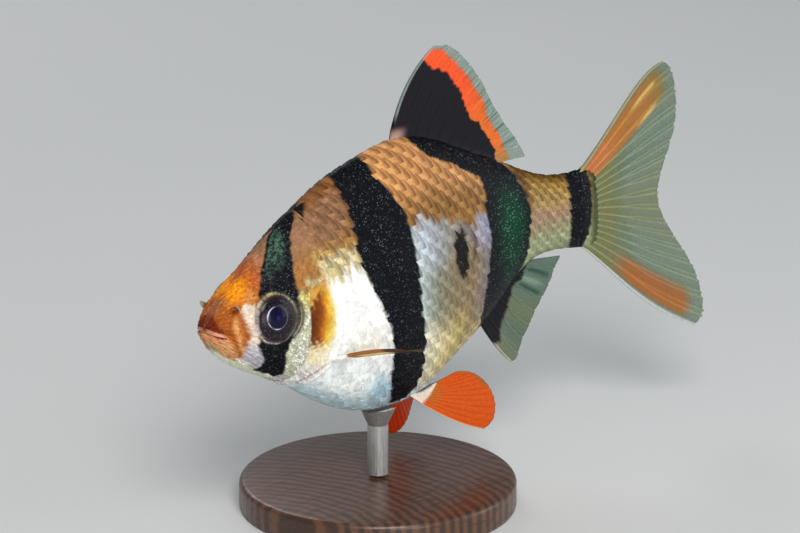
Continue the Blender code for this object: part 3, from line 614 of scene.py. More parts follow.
def head_colour(s, d, points):
    """Colour of the head without its band and lips, and its shares of flecks and of mosaic."""
    rough = wobble(s, d, 0.006, 7)
    fine = wobble(s, d, 0.0022, 8)
    colour = mix(FOREHEAD + 0 * s[..., None], SNOUT_BROWN, ease(24, 46, d + 6 * rough))
    # Forehead and snout colours; the pink along the top of the head over the eyes is a painted
    # highlight
    colour = layered(
        colour,
        (SNOUT_ORANGE, oval(s + 0.002 * fine, d + 5 * fine, (0.079, 18), (0.026, 25))),
        (CROWN_RUST, 0.6 * oval(s, d, (0.116, 31), (0.016, 10))),
        (BROW_TAN, 0.7 * oval(s, d + 4 * fine, (0.093, 44), (0.016, 8))),
        (FOREHEAD_EDGE, 0.8 * ease(0.108, 0.132, s + 0.004 * fine)),
        (FOREHEAD_PINK_HIGHLIGHT, 0.6 * ease(0.126, 0.146, s) * fade(20, 32, d + 4 * fine)),
        (RIDGE_BROWN, 0.7 * fade(5, 13, d + 3 * fine) * bump(s - 0.104, 0.016)))
    tan = fade(14, 28, d + 5 * rough) * fade(0.050, 0.066, s + 0.003 * fine)
    colour = mix(colour, SNOUT_TAN, 0.75 * tan)
    jaw_gap = line_distance(points, jaw_fold_route)
    light = bump(s - line([
        (50, 0.058), (75, 0.054), (100, 0.058), (118, 0.060), (140, 0.064)])(d), 0.006)
    # The deeper orange along the jaw fold is partly the skin's own colour and partly painted shade
    # in the fold
    colour = layered(
        colour,
        (JAW_LIGHT, 0.7 * light * ease(50, 66, d) * fade(122, 136, d)),
        (CHIN_SALMON, ease(92, 108, d + 6 * rough + 500 * (0.036 - s))),
        (FOLD_ORANGE_SHADE, 0.85 * bump(jaw_gap + 0.0012 * rough, 0.0062) * ease(62, 78, d)))
    start = line([
        (0, 0.2), (38, 0.2), (44, 0.078), (50, 0.070), (58, 0.0665), (66, 0.068), (80, 0.071),
        (89, 0.077), (98, 0.072), (105, 0.067), (129, 0.0665), (145, 0.063),
        (180, 0.05)])(d + 4 * rough)
    stop = line([
        (40, 0.070), (46, 0.080), (54, 0.092), (60, 0.106), (66, 0.13), (180, 0.13)])(d + 3 * fine)
    cheek_share = ease(-0.003, 0.009, s + 0.0016 * fine - start) * fade(-0.003, 0.004, s - stop)
    cheek = mix(CHEEK_WHITE + 0 * s[..., None], LILAC, ease(98, 112, d + 4 * fine))
    cheek = mix(cheek, CHEEK_FLECK, 0.5 * ease(0.2, 0.9, fine) * fade(80, 100, d))
    colour = mix(colour, cheek, cheek_share)
    jaw = line([
        (0.018, 178), (0.030, 172), (0.040, 162), (0.056, 149), (0.075, 141), (0.10, 146)])(s)
    under = ease(-7, 9, d - jaw + 5 * rough + 3 * fine)
    # Pale chin, painted lighter than its own colour: painted light that makes up for the shade
    # under the head
    colour = layered(
        colour,
        (CHIN_PAINTED_LIGHT, under),
        (CHIN_OLIVE, 0.6 * oval(s, d, (0.031, 172), (0.006, 13))))
    limit = line([
        (0, 0.0325), (12, 0.0335), (38, 0.0305), (60, 0.0305), (76, 0.0375),
        (90, 0.038)])(d + 3 * fine)
    snout = fade(limit - 0.0050, limit + 0.0012, s + 0.0014 * rough) * fade(78, 88, d)
    colour = mix(colour, MAROON, (0.92 - 0.30 * fade(4, 16, d)) * snout)
    fleck = (1 - cheek_share) * (1 - under) * (1 - 0.5 * snout)
    rear, on_cover = rear_head_colour(s, d, points, rough, fine)
    behind = ease(0.138, 0.150, s)
    mosaic = behind * (0.35 + 0.65 * ease(58, 70, d)) * (1 - 0.85 * on_cover * ease(66, 72, d))
    mosaic = (mosaic + 0.45 * cheek_share * (1 - behind) + 0.5 * behind * ease(118, 132, d)
              * on_cover)
    return mix(colour, rear, behind), fleck * (1 - behind), mosaic


def face_colour(colour, s, d, angle, points, fine):
    """Colour with lips and painted shade in the mouth, nostril, socket and round the eye laid over
    it, the mouth's gap and the socket.
    """
    upper = line_distance(points, upper_lip_route)
    lower = line_distance(points, lower_lip_route)
    slit = line_distance(points, mouth_slit_route)
    colour = mix(colour, LOWER_LIP, 0.85 * fade(0.0034, 0.0076, lower))
    lip = fade(0.0022, 0.0042, upper + 0.0004 * fine) * (1 - 0.7 * ease(0.030, 0.036, s))
    # Pink upper lip, then dark red painted shade in the mouth's slit
    colour = layered(
        colour,
        (LIP_PINK, 0.85 * lip),
        (MOUTH_SHADE, bump(slit, 0.0018) * 0.95 * (0.35 + 0.65 * ease(0.020, 0.026, s))))
    hole = np.linalg.norm(points - nostril_point, axis=-1)
    # Nostril's rim, then painted shade in its pit
    colour = layered(
        colour,
        (NOSTRIL_RIM, 0.75 * bump(hole - 0.0056, 0.0024)),
        (NOSTRIL_SHADE, bump(hole, 0.0030)))
    eye = eye_radius_at(points)
    around = eye_angle_at(points)
    # Painted shade in the eye's socket under the eyeball, and painted shade round the eye
    socket = fade(0.0425, 0.0445, eye)
    colour = mix(colour, SOCKET_SHADE, socket)
    shaded = bump(eye - 0.0500, 0.0050) * (0.06 + 0.94 * ease(50, 100, np.abs(around - 10)))
    shaded = shaded * (1 - 0.8 * (np.sin(angle) > 0) * fade(50, 60, d))
    colour = mix(colour, EYE_SHADOW, 0.85 * shaded)
    return colour, slit, socket


def markings(s, angle):
    """Fields of the skin at stations and angles: its colour, and shares that steer its finish."""
    d = np.degrees(np.arccos(np.cos(angle)))
    points = folded(section(s, angle))
    trunk = trunk_colour(s, d)
    head, fleck, mosaic = head_colour(s, d, points)
    nape = line([
        (0, 0.225), (50, 0.225), (62, 0.236), (92, 0.255), (118, 0.242), (150, 0.200),
        (180, 0.19)])(d)
    on_trunk = ease(nape - 0.010, nape + 0.006, s)
    colour = mix(head, trunk, on_trunk)
    rough = wobble(s, d, 0.0045, 11)
    fine = wobble(s, d, 0.0019, 12)
    wavy = s + 0.0016 * rough + 0.0012 * fine
    far = 0.024 * (np.sin(angle) > 0) * ease(1, 7, d) * fade(30, 52, d)
    band = between(wavy - far, d, band1_front, band1_rear, 0.0030) * fade(153, 158, d + 2 * rough)
    band = np.maximum(band, between(wavy, d, band2_front, band2_rear, 0.0026)
                      * fade(155, 163, d + 3 * rough))
    for front, rear, soft in ((band3_front, band3_rear, 0.0030), (band4_front, band4_rear, 0.0036)):
        band = np.maximum(band, between(wavy, d, front, rear, soft))
    spot = oval(wavy, d + 2 * fine, (0.577 + 0.0002 * (d - 82), 81.5), (0.0205, 12.6))
    band = np.maximum(band, ease(0.22, 0.62, spot) * 0.86)
    halo = bump(np.hypot((s - 0.584) / 0.034, (d - 80) / 12.5) - 1, 0.16)
    colour = layered(
        colour,
        (SPOT_HALO, 0.75 * halo * ease(0.582, 0.600, s) * fade(84, 94, d)),
        (SPOT_BROWN, ease(0.10, 0.5, spot)))
    ahead = wavy - far - band1_front(d)
    crown = ease(0.004, 0.013, ahead) * fade(-0.018, -0.007, wavy - far - band1_rear(d))
    crown = crown * fade(30, 46, d) * ease(1, 8, d) * fade(0.184, 0.204, s)
    green = oval(s, d, (0.744, 80), (0.050, 34)) + 0.35 * oval(s, d, (0.752, 118), (0.040, 18))
    pearl = ease(60, 68, d) * ease(0.06, 0.09, s) * (1 - 0.6 * ease(0.72, 0.80, s))
    colour, slit, socket = face_colour(colour, s, d, angle, points, fine)
    band = np.clip(band, 0, 1)
    nape_patch = fade(0.29, 0.35, s) * fade(60, 68, d)
    return {"paint": colour, "band": band, "green": np.clip(green, 0, 1),
            "crown": np.clip(crown, 0, 1),
            "pearl": np.clip(pearl * (1 - band), 0, 1),
            "fleck": np.clip(fleck * (1 - on_trunk) * fade(0.30, 0.6, bump(slit, 0.006)), 0, 1),
            "mosaic": np.clip((mosaic * (1 - on_trunk) + 0.6 * nape_patch * on_trunk)
                              * (1 - socket), 0, 1)}


def flow(s, angle):
    """Coordinates along and across the fine streaks of the skin, unlike on both sides."""
    across = np.degrees(np.arccos(np.cos(angle))) * 0.0030
    return np.stack([(s - 0.38 * across) * 330, across * 95, 3 * np.sin(angle) + 0 * s], axis=-1)


# Node materials
class Nodes:
    """Small helper that adds and joins the nodes of one material."""

    def __init__(self, name):
        self.material = bpy.data.materials.new(name)
        self.material.use_nodes = True
        self.tree = self.material.node_tree
        self.shader = self.tree.nodes["Principled BSDF"]

    def add(self, kind, **values):
        """New node; values set its properties and, with an _ in front, its sockets."""
        made = self.tree.nodes.new(kind)
        for name, value in values.items():
            if name.startswith("_"):
                socket = made.inputs[int(name[1:])] if name[1:].isdigit() else made.inputs[name[1:]]
                self.put(socket, value)
            else:
                setattr(made, name, value)
        return made

    def put(self, socket, value):
        """Join a socket to another, or set its value."""
        if isinstance(value, bpy.types.NodeSocket):
            self.tree.links.new(value, socket)
        else:
            socket.default_value = value

    def set(self, **values):
        """Set or join sockets of the shader; _ in a name stands for a space."""
        for name, value in values.items():
            self.put(self.shader.inputs[name.replace("_", " ")], value)

    def attribute(self, name, output="Fac"):
        """Output of a mesh attribute."""
        return self.add("ShaderNodeAttribute", attribute_name=name).outputs[output]

    def math(self, operation, first, second=0.0, clamp=False):
        """Output of one sum."""
        return self.add("ShaderNodeMath", operation=operation, use_clamp=clamp, _0=first,
                        _1=second).outputs[0]

    def times(self, *factors):
        """Output of a product."""
        product = factors[0]
        for factor in factors[1:]:
            product = self.math("MULTIPLY", product, factor)
        return product

    def step(self, value, low, high, start=0.0, stop=1.0):
        """Output that runs smoothly from start to stop while value runs from low to high."""
        made = self.add("ShaderNodeMapRange", interpolation_type="SMOOTHSTEP", _0=value, _1=low,
                        _2=high,
                        _3=start, _4=stop)
        return made.outputs[0]

    def blend(self, low, high, share, kind="MIX"):
        """Output of two colours mixed by a share."""
        made = self.add("ShaderNodeMix", data_type="RGBA", blend_type=kind, _0=share, _6=low,
                        _7=high)
        return made.outputs[2]

    def multiply(self, colour, level):
        """Output of a colour made lighter or darker by a level."""
        grey = self.add("ShaderNodeCombineColor", _0=level, _1=level, _2=level).outputs[0]
        return self.blend(colour, grey, 1.0, "MULTIPLY")

    def coordinates(self):
        """Output of the object's own coordinates."""
        return self.add("ShaderNodeTexCoord").outputs["Object"]

    def noise(self, scale, detail=2.0, output="Fac", at=None):
        """Output of a noise texture."""
        made = self.add("ShaderNodeTexNoise", _Vector=at or self.coordinates(), _Scale=scale,
                        _Detail=detail)
        return made.outputs[output]

    def bump(self, height, distance, strength=1.0, normal=None):
        """Output of a bump map."""
        made = self.add("ShaderNodeBump", _Height=height, _Distance=distance, _Strength=strength)
        if normal is not None:
            self.put(made.inputs["Normal"], normal)
        return made.outputs[0]


def rgb(colour):
    """Colour with a full alpha for a socket."""
    return (float(colour[0]), float(colour[1]), float(colour[2]), 1.0)


# Scales of the fish's textures in object space
MOTTLE_GRAIN = 1500.0
CLUMP_GRAIN = 1700.0
BLOT_GRAIN = 2700.0
CLOUD_GRAIN = 3000.0
LEVEL_GRAIN = 3400.0
FIN_GRAIN = 3800.0
FINE_GRAIN = 5200.0
IRIS_GRAIN = 5600.0
DOT_GRAIN = 6200.0
EYE_FLECK_GRAIN = 8200.0
BLOT_RUST = tone(140, 58, 14)
FLECK_GOLD = tone(255, 204, 130)
SEAM_OLIVE = tone(104, 92, 62)
CROWN_GLINT = tone(112, 142, 124)


def ground_colour(m, paint, flowing, fleck, mosaic, mottle, fine):
    """Painted skin with its streaks, flecks and mosaic, and the seams of the mosaic's tiles."""
    streak = m.noise(1.0, 3.0, at=flowing)
    level = m.times(m.step(mottle, 0.32, 0.68, 0.87, 1.10), m.step(streak, 0.32, 0.68, 0.91, 1.06),
                    m.step(m.noise(LEVEL_GRAIN, 4.0), 0.34, 0.66, 0.92, 1.06))
    colour = m.multiply(paint, level)
    blot = m.times(m.step(m.noise(BLOT_GRAIN, 4.0), 0.50, 0.70), fleck)
    colour = m.blend(colour, rgb(BLOT_RUST), m.times(blot, 0.55))
    light = m.times(m.step(fine, 0.56, 0.74), fleck, 0.34)
    colour = m.blend(colour, rgb(FLECK_GOLD), light)
    at = m.add("ShaderNodeMapping", _Vector=flowing, _Scale=(0.50, 1.25, 1.0)).outputs[0]
    cells = m.add("ShaderNodeTexVoronoi", feature="DISTANCE_TO_EDGE", _Vector=at, _Scale=1.0)
    seam = m.step(cells.outputs["Distance"], 0.03, 0.22, 1.0, 0.0)
    tile = m.add("ShaderNodeTexVoronoi", _Vector=at, _Scale=1.0)
    value = m.add("ShaderNodeSeparateColor", _0=tile.outputs["Color"]).outputs[0]
    tiled = m.multiply(colour, m.step(value, 0.1, 0.9, 0.76, 1.28))
    tiled = m.blend(tiled, rgb(SEAM_OLIVE), m.times(seam, 0.50))
    return m.blend(colour, tiled, mosaic), seam


def band_colour(m, green, crown, fine):
    """Near-black of the bands with its green and pale glints, and where the pale ones are."""
    dots = m.add("ShaderNodeTexVoronoi", _Vector=m.coordinates(), _Scale=DOT_GRAIN, _Randomness=1.0)
    pick = m.add("ShaderNodeSeparateColor", _0=dots.outputs["Color"]).outputs[0]
    dot = m.step(dots.outputs["Distance"], 0.16, 0.44, 1.0, 0.0)
    clump = m.step(m.noise(CLUMP_GRAIN, 3.0), 0.38, 0.62, 0.30, 1.0)
    glint = m.times(dot, m.step(pick, 0.48, 0.98), clump)
    thick = m.times(dot, m.step(pick, 0.30, 0.80), clump)
    dark = m.blend(rgb(BLACK), rgb(BAND_GREY), m.times(m.step(fine, 0.52, 0.74), 0.20))
    dark = m.blend(dark, rgb(GREEN_DEEP), m.times(green, 0.85))
    cloud = m.step(m.noise(CLOUD_GRAIN, 4.0), 0.40, 0.60, 0.10, 1.0)
    dark = m.blend(dark, rgb(CROWN_GREEN), m.times(crown, cloud))
    dark = m.blend(dark, rgb(PALE_GLINT), m.times(glint, m.step(crown, 0.0, 1.0, 0.80, 0.35)))
    dark = m.blend(dark, rgb(GREEN_GLINT), m.times(thick, m.times(green, 0.75)))
    dark = m.blend(dark, rgb(CROWN_GLINT), m.times(thick, m.times(crown, 0.60)))
    return dark, glint


def body_material(name, scaled):
    """Painted skin or scales, with streaks, flecks and mosaic, and glints in the bands."""
    m = Nodes(name)
    paint = m.attribute("paint", "Color")
    shares = ("band", "green", "crown", "pearl", "fleck", "mosaic")
    band, green, crown, pearl, fleck, mosaic = (m.attribute(share) for share in shares)
    mottle = m.noise(MOTTLE_GRAIN, 4.0)
    fine = m.noise(FINE_GRAIN, 3.0)
    flowing = m.attribute("flow", "Vector")
    colour, seam = ground_colour(m, paint, flowing, fleck, mosaic, mottle, fine)
    dark, glint = band_colour(m, green, crown, fine)
    if scaled:
        colour = m.multiply(colour, m.step(m.attribute("tint"), 0.0, 1.0, 0.90, 1.10))
        shaded = m.blend(colour, (*RIM_DARK, 1.0), 1.0, "MULTIPLY")
        colour = m.blend(colour, shaded, m.attribute("rim"))
    rough = m.math("SUBTRACT", m.step(fine, 0.25, 0.75, 0.40, 0.56), m.times(pearl, 0.06))
    metal = m.math("ADD", m.times(pearl, 0.08), m.times(glint, band, 0.20))
    relief = m.math("ADD", mottle, m.times(fine, 0.5))
    relief = m.math("SUBTRACT", relief, m.times(seam, mosaic, 0.8))
    m.set(Base_Color=m.blend(colour, dark, band), Roughness=rough, Metallic=metal)
    m.set(Coat_Weight=0.02, Coat_Roughness=0.20, Specular_IOR_Level=0.09)
    m.set(Normal=m.bump(relief, 0.00003, 0.7))
    return m.material


def fin_material():
    """Thin fin: painted rays and membrane, see-through by its clear share."""
    m = Nodes("fin_membrane")
    paint = m.attribute("paint", "Color")
    clear = m.attribute("clear")
    fleck = m.noise(FIN_GRAIN, 3.0)
    m.set(Base_Color=m.multiply(paint, m.step(fleck, 0.3, 0.7, 0.90, 1.07)))
    m.set(Alpha=m.math("SUBTRACT", 1.0, m.times(clear, m.step(fleck, 0.2, 0.8, 0.97, 0.90))))
    m.set(Roughness=m.step(fleck, 0.3, 0.7, 0.44, 0.56))
    m.set(Coat_Weight=0.03, Coat_Roughness=0.20, Specular_IOR_Level=0.16)
    m.set(Normal=m.bump(fleck, 0.00002, 0.4))
    return m.material


def eye_material():
    """Polished eye, painted in rings, with a mottled iris under a clear coat."""
    m = Nodes("eye")
    paint = m.attribute("paint", "Color")
    iris = m.attribute("iris")
    streak = m.noise(IRIS_GRAIN, 4.0)
    mottled = m.multiply(paint, m.step(streak, 0.36, 0.66, 0.40, 1.50))
    fleck = m.times(m.step(m.noise(EYE_FLECK_GRAIN, 2.0), 0.56, 0.70), 0.45)
    mottled = m.blend(mottled, rgb(tone(112, 100, 112)), fleck)
    m.set(Base_Color=m.blend(paint, mottled, iris))
    m.set(Metallic=m.times(iris, 0.15), Roughness=m.step(streak, 0.3, 0.7, 0.22, 0.32))
    m.set(Coat_Weight=0.18, Coat_Roughness=0.04, Specular_IOR_Level=0.12)
    return m.material


def wood_material():
    """Dark oiled hardwood with growth rings seen on its face and grain on its edge."""
    m = Nodes("stand_wood")
    at = m.add("ShaderNodeMapping", _Vector=m.coordinates(), _Location=(0.020, 0.004, 0.0),
               _Scale=(1.0, 1.0, 0.2)).outputs[0]
    rings = m.add("ShaderNodeTexWave", wave_type="RINGS", rings_direction="Z", _Vector=at,
                  _Scale=330.0,
                  _Distortion=4.0, _Detail=3.0)
    rings.inputs["Detail Scale"].default_value = 1.2
    grain = m.noise(2600.0, 4.0, at=m.add("ShaderNodeMapping", _Vector=m.coordinates(),
                                          _Scale=(0.15, 1.0, 1.0)).outputs[0])
    colour = m.blend(rgb(tone(58, 34, 22)), rgb(tone(96, 60, 38)),
                     m.step(rings.outputs["Fac"], 0.1, 0.9))
    colour = m.blend(colour, rgb(tone(36, 20, 14)), m.step(grain, 0.52, 0.72, 0.0, 0.55))
    m.set(Base_Color=colour, Roughness=m.step(grain, 0.3, 0.7, 0.34, 0.48), Coat_Weight=0.25,
          Coat_Roughness=0.22)
    m.set(Normal=m.bump(grain, 0.00003, 0.6))
    return m.material


def steel_material():
    """Brushed steel rod."""
    m = Nodes("stand_steel")
    brushed = m.noise(9000.0, 2.0, at=m.add("ShaderNodeMapping", _Vector=m.coordinates(),
                                            _Scale=(1.0, 1.0, 0.08)).outputs[0])
    m.set(Base_Color=m.blend(rgb(tone(176, 176, 174)), rgb(tone(198, 197, 194)),
                             m.step(brushed, 0.3, 0.7)))
    m.set(Metallic=0.85, Roughness=m.step(brushed, 0.3, 0.7, 0.42, 0.52))
    m.set(Normal=m.bump(brushed, 0.00001, 0.5))
    return m.material


def floor_material():
    """Plain pale floor."""
    m = Nodes("floor_plain")
    tint = m.noise(14.0, 3.0)
    m.set(Base_Color=m.blend(rgb(tone(214, 216, 216)), rgb(tone(220, 221, 220)), tint),
          Roughness=0.75)
    return m.material


# Meshes
def mesh_piece(name, points, faces, finish, attributes=None, smooth=True):
    """Object from arrays of points and faces, with attributes for each point."""
    mesh = bpy.data.meshes.new(name)
    points = np.asarray(points, dtype=np.float32).reshape(-1, 3)
    if isinstance(faces, list):
        sizes = np.array([len(face) for face in faces])
        corners = np.concatenate([np.asarray(face) for face in faces])
    else:
        sizes = np.full(len(faces), faces.shape[1])
        corners = faces.reshape(-1)
    mesh.vertices.add(len(points))
    mesh.vertices.foreach_set("co", points.ravel())
    mesh.loops.add(len(corners))
    mesh.loops.foreach_set("vertex_index", corners.astype(np.int32))
    mesh.polygons.add(len(sizes))
    mesh.polygons.foreach_set("loop_start", (np.cumsum(sizes) - sizes).astype(np.int32))
    mesh.update(calc_edges=True)
    mesh.validate()
    for key, values in (attributes or {}).items():
        values = np.asarray(values, dtype=np.float32)
        if key == "flow":
            made = mesh.attributes.new(key, "FLOAT_VECTOR", "POINT")
            made.data.foreach_set("vector", values.ravel())
        elif values.ndim == 2:
            made = mesh.attributes.new(key, "FLOAT_COLOR", "POINT")
            full = np.concatenate([values, np.ones((len(values), 1), dtype=np.float32)], axis=1)
            made.data.foreach_set("color", full.ravel())
        else:
            made = mesh.attributes.new(key, "FLOAT", "POINT")
            made.data.foreach_set("value", values.ravel())
    if smooth:
        mesh.shade_smooth()
    mesh.materials.append(finish)
    made = bpy.data.objects.new(name, mesh)
    bpy.context.scene.collection.objects.link(made)
    return made


def grid_faces(rows, columns, wrap=False):
    """Quads between the rows of a grid of points."""
    last = columns if wrap else columns - 1
    i, k = np.meshgrid(np.arange(rows - 1), np.arange(last), indexing="ij")
    a = i * columns + k
    b = i * columns + (k + 1) % columns
    return np.stack([a, b, b + columns, a + columns], axis=-1).reshape(-1, 4)


def fan(hub, ring, flip=False):
    """Triangles from one point to each edge of a closed ring of points."""
    after = np.roll(ring, -1)
    sides = [after, ring] if flip else [ring, after]
    return np.stack([np.full(len(ring), hub)] + sides, axis=1)


def grid_rim(lines, columns):
    """Indices of the outer points of a grid, in order round it."""
    index = np.arange(lines * columns).reshape(lines, columns)
    return np.concatenate([index[0], index[1:, -1], index[-1, -2::-1], index[-2:0:-1, 0]])


def ball_faces(rings, around):
    """Faces of a ball whose points are rings from pole to pole, and then both poles."""
    ring = np.arange(around)
    poles = rings * around
    sides = grid_faces(rings, around, wrap=True)[:, ::-1]
    caps = np.concatenate([fan(poles, ring), fan(poles + 1, poles - around + ring, flip=True)])
    return list(sides) + list(caps)


def side_word(side):
    """The side's name, from its sign."""
    return "left" if side < 0 else "right"


def tail_taper(s):
    """How far the sides of the tail's stalk draw in towards its end."""
    return half_width(np.minimum(s, 1.01)) * TAPER_SHARE * ease(*TAPER, s)


def make_skin(finish):
    """One skin over head, trunk and tail's stalk, with the forms of the head modelled in it."""
    angle = np.linspace(0, 2 * math.pi, AROUND, endpoint=False)[None, :]
    degrees = np.degrees(np.arccos(np.cos(angle)))
    gill = gill_opening(degrees)
    start = SNOUT_START + TIP_STEP
    head_s = start + (gill - start) * (np.linspace(0, 1, HEAD_RINGS)[:, None] ** HEAD_CROWDING)
    rear = tail_root(angle) + SKIN_PAST_ROOT
    share = np.linspace(0, 1, BODY_RINGS)[:, None]
    body_s = gill + GILL_STEP + (rear - gill - GILL_STEP) * share
    angles = np.broadcast_to(angle, (HEAD_RINGS + BODY_RINGS, AROUND))
    s = np.concatenate([head_s, body_s])
    head_rise = head_relief(head_s, np.broadcast_to(angle, head_s.shape))
    nape = fade(50, 58, degrees)
    throat = ease(152, 160, degrees)
    under = nape * fade(0.0, 0.020, body_s - gill) + throat * fade(0.0, 0.030, body_s - gill)
    body_rise = -COAT * (1 - np.clip(under, 0, 1)) - tail_taper(body_s) * np.abs(np.sin(angle))
    rise = np.concatenate([head_rise, body_rise])
    points = place(skin_point(s, angles, rise))
    faces = grid_faces(HEAD_RINGS + BODY_RINGS, AROUND, wrap=True)
    count = len(points.reshape(-1, 3))
    tips = np.stack([place([SNOUT_START, 0.0, SNOUT_HEIGHT]), points[-1].mean(axis=0)])
    points = np.concatenate([points.reshape(-1, 3), tips])
    ring = np.arange(AROUND)
    caps = np.concatenate([fan(count, ring, flip=True), fan(count + 1, count - AROUND + ring)])
    fields = markings(s, angles)
    fields["flow"] = flow(s, angles)
    for key, values in fields.items():
        flat = values.reshape(-1, *values.shape[2:])
        fields[key] = np.concatenate([flat, flat[:1], flat[-1:]])
    return mesh_piece("skin", points, list(faces) + list(caps), finish, fields)


# Scales
def arc_table():
    """Stations, angles and the length round the body from the middle of the side to each angle."""
    stations = np.linspace(0.15, 1.04, 300)
    angles = np.radians(np.linspace(-25, 205, 461))
    points = section(stations[:, None], angles[None, :])[..., 1:]
    steps = np.linalg.norm(np.diff(points, axis=1), axis=-1)
    arc = np.concatenate([np.zeros((len(stations), 1)), np.cumsum(steps, axis=1)], axis=1)
    middle = np.array([np.interp(math.radians(86), angles, row) for row in arc])
    return stations, angles, arc - middle[:, None]


def scale_row(s):
    """Height of one row of scales at a station."""
    return SCALE_ROW + (SCALE_ROW_TAIL - SCALE_ROW) * ease(0.52, 1.0, s)


def scale_length(s):
    """Length of one scale's step along its row at a station."""
    return SCALE_LENGTH + (SCALE_LENGTH_TAIL - SCALE_LENGTH) * ease(0.60, 1.0, s)


scale_front = spline([
    (0, 0.196), (30, 0.200), (50, 0.212), (64, 0.252), (92, 0.271), (118, 0.255), (150, 0.222),
    (180, 0.222)])


def scale_sites(draw):
    """Centre, row number and random draws of each scale on one side."""
    stations, angles, arc = arc_table()
    sites = []
    s = 0.172
    column = 0
    while s < 1.000:
        row_arc = np.array([np.interp(s, stations, arc[:, k]) for k in range(0, arc.shape[1], 4)])
        some = angles[::4]
        top, low = np.interp([0.0, math.pi], some, row_arc)
        step = scale_row(s)
        offset = 0.5 * (column % 2)
        for row in range(int(math.floor(top / step)) - 1, int(math.ceil(low / step)) + 2):
            w = (row + offset) * step
            if w < top - 0.45 * step or w > low + 0.45 * step:
                continue
            angle = float(np.interp(w, row_arc, some))
            degrees = math.degrees(np.clip(angle, 0, math.pi))
            if s < scale_front(degrees) or s > tail_root(angle) + 0.004:
                continue
            sites.append((s, row + offset, *draw.uniform(-1, 1, 4)))
        s += 0.5 * float(scale_length(s))
        column += 1
    return np.array(sites)


def arc_to_angle():
    """Function that turns stations and lengths round the body into angles down its side."""
    stations, angles, arc = arc_table()
    grid_w = np.linspace(-0.33, 0.42, 500)
    angle_of = np.array([np.interp(grid_w, row, angles) for row in arc])

    def to_angle(s, w):
        i = np.clip((s - stations[0]) / (stations[1] - stations[0]), 0, len(stations) - 1.001)
        j = np.clip((w - grid_w[0]) / (grid_w[1] - grid_w[0]), 0, len(grid_w) - 1.001)
        a, b = i.astype(int), j.astype(int)
        fa, fb = i - a, j - b
        low = angle_of[a, b] * (1 - fb) + angle_of[a, b + 1] * fb
        high = angle_of[a + 1, b] * (1 - fb) + angle_of[a + 1, b + 1] * fb
        return low * (1 - fa) + high * fa

    return to_angle


def scale_rise(s, degrees, lift, t, v, white, nape):
    """Height of the scales' outer faces, flatter on the white breast, the flank and the nape."""
    flank = ease(60, 68, degrees) * ease(0.40, 0.46, s)
    stand = 0.0007 * (1 - 0.8 * white) * (1 - 0.6 * flank) * (1 - 0.5 * nape)
    rise = -COAT - 0.0004 + (COAT + stand + 0.0002 * lift) * t - 0.0002 * (v / SCALE_HALF) ** 2
    rise = rise - (0.0012 * np.maximum(white, nape) + 0.0011 * flank) * t
    over = np.maximum(0, -degrees) + np.maximum(0, degrees - 180)
    return rise - 0.0005 * over - COAT * 0.6 * ease(0.95, 1.0, s) * t


def scale_faces(count, side):
    """Faces of a number of scales, the rim of one scale's face, and its number of points."""
    each = SCALE_LINES * SCALE_COLUMNS
    rim = grid_rim(SCALE_LINES, SCALE_COLUMNS)
    low = each + np.arange(len(rim))
    own = each + len(rim) + 1
    i, k = np.meshgrid(np.arange(SCALE_LINES - 1), np.arange(SCALE_COLUMNS - 1), indexing="ij")
    a = (i * SCALE_COLUMNS + k).ravel()
    upper = np.stack([a, a + 1, a + SCALE_COLUMNS + 1, a + SCALE_COLUMNS], axis=1)
    wall = np.stack([rim, low, np.roll(low, -1), np.roll(rim, -1)], axis=1)
    shift = (np.arange(count) * own)[:, None, None]
    quads = np.concatenate([upper, wall])[None] + shift
    fans = fan(own - 1, low, flip=True)[None] + shift
    if side < 0:
        quads = quads[..., ::-1]
        fans = fans[..., ::-1]
    return list(quads.reshape(-1, 4)) + list(fans.reshape(-1, 3)), rim, own


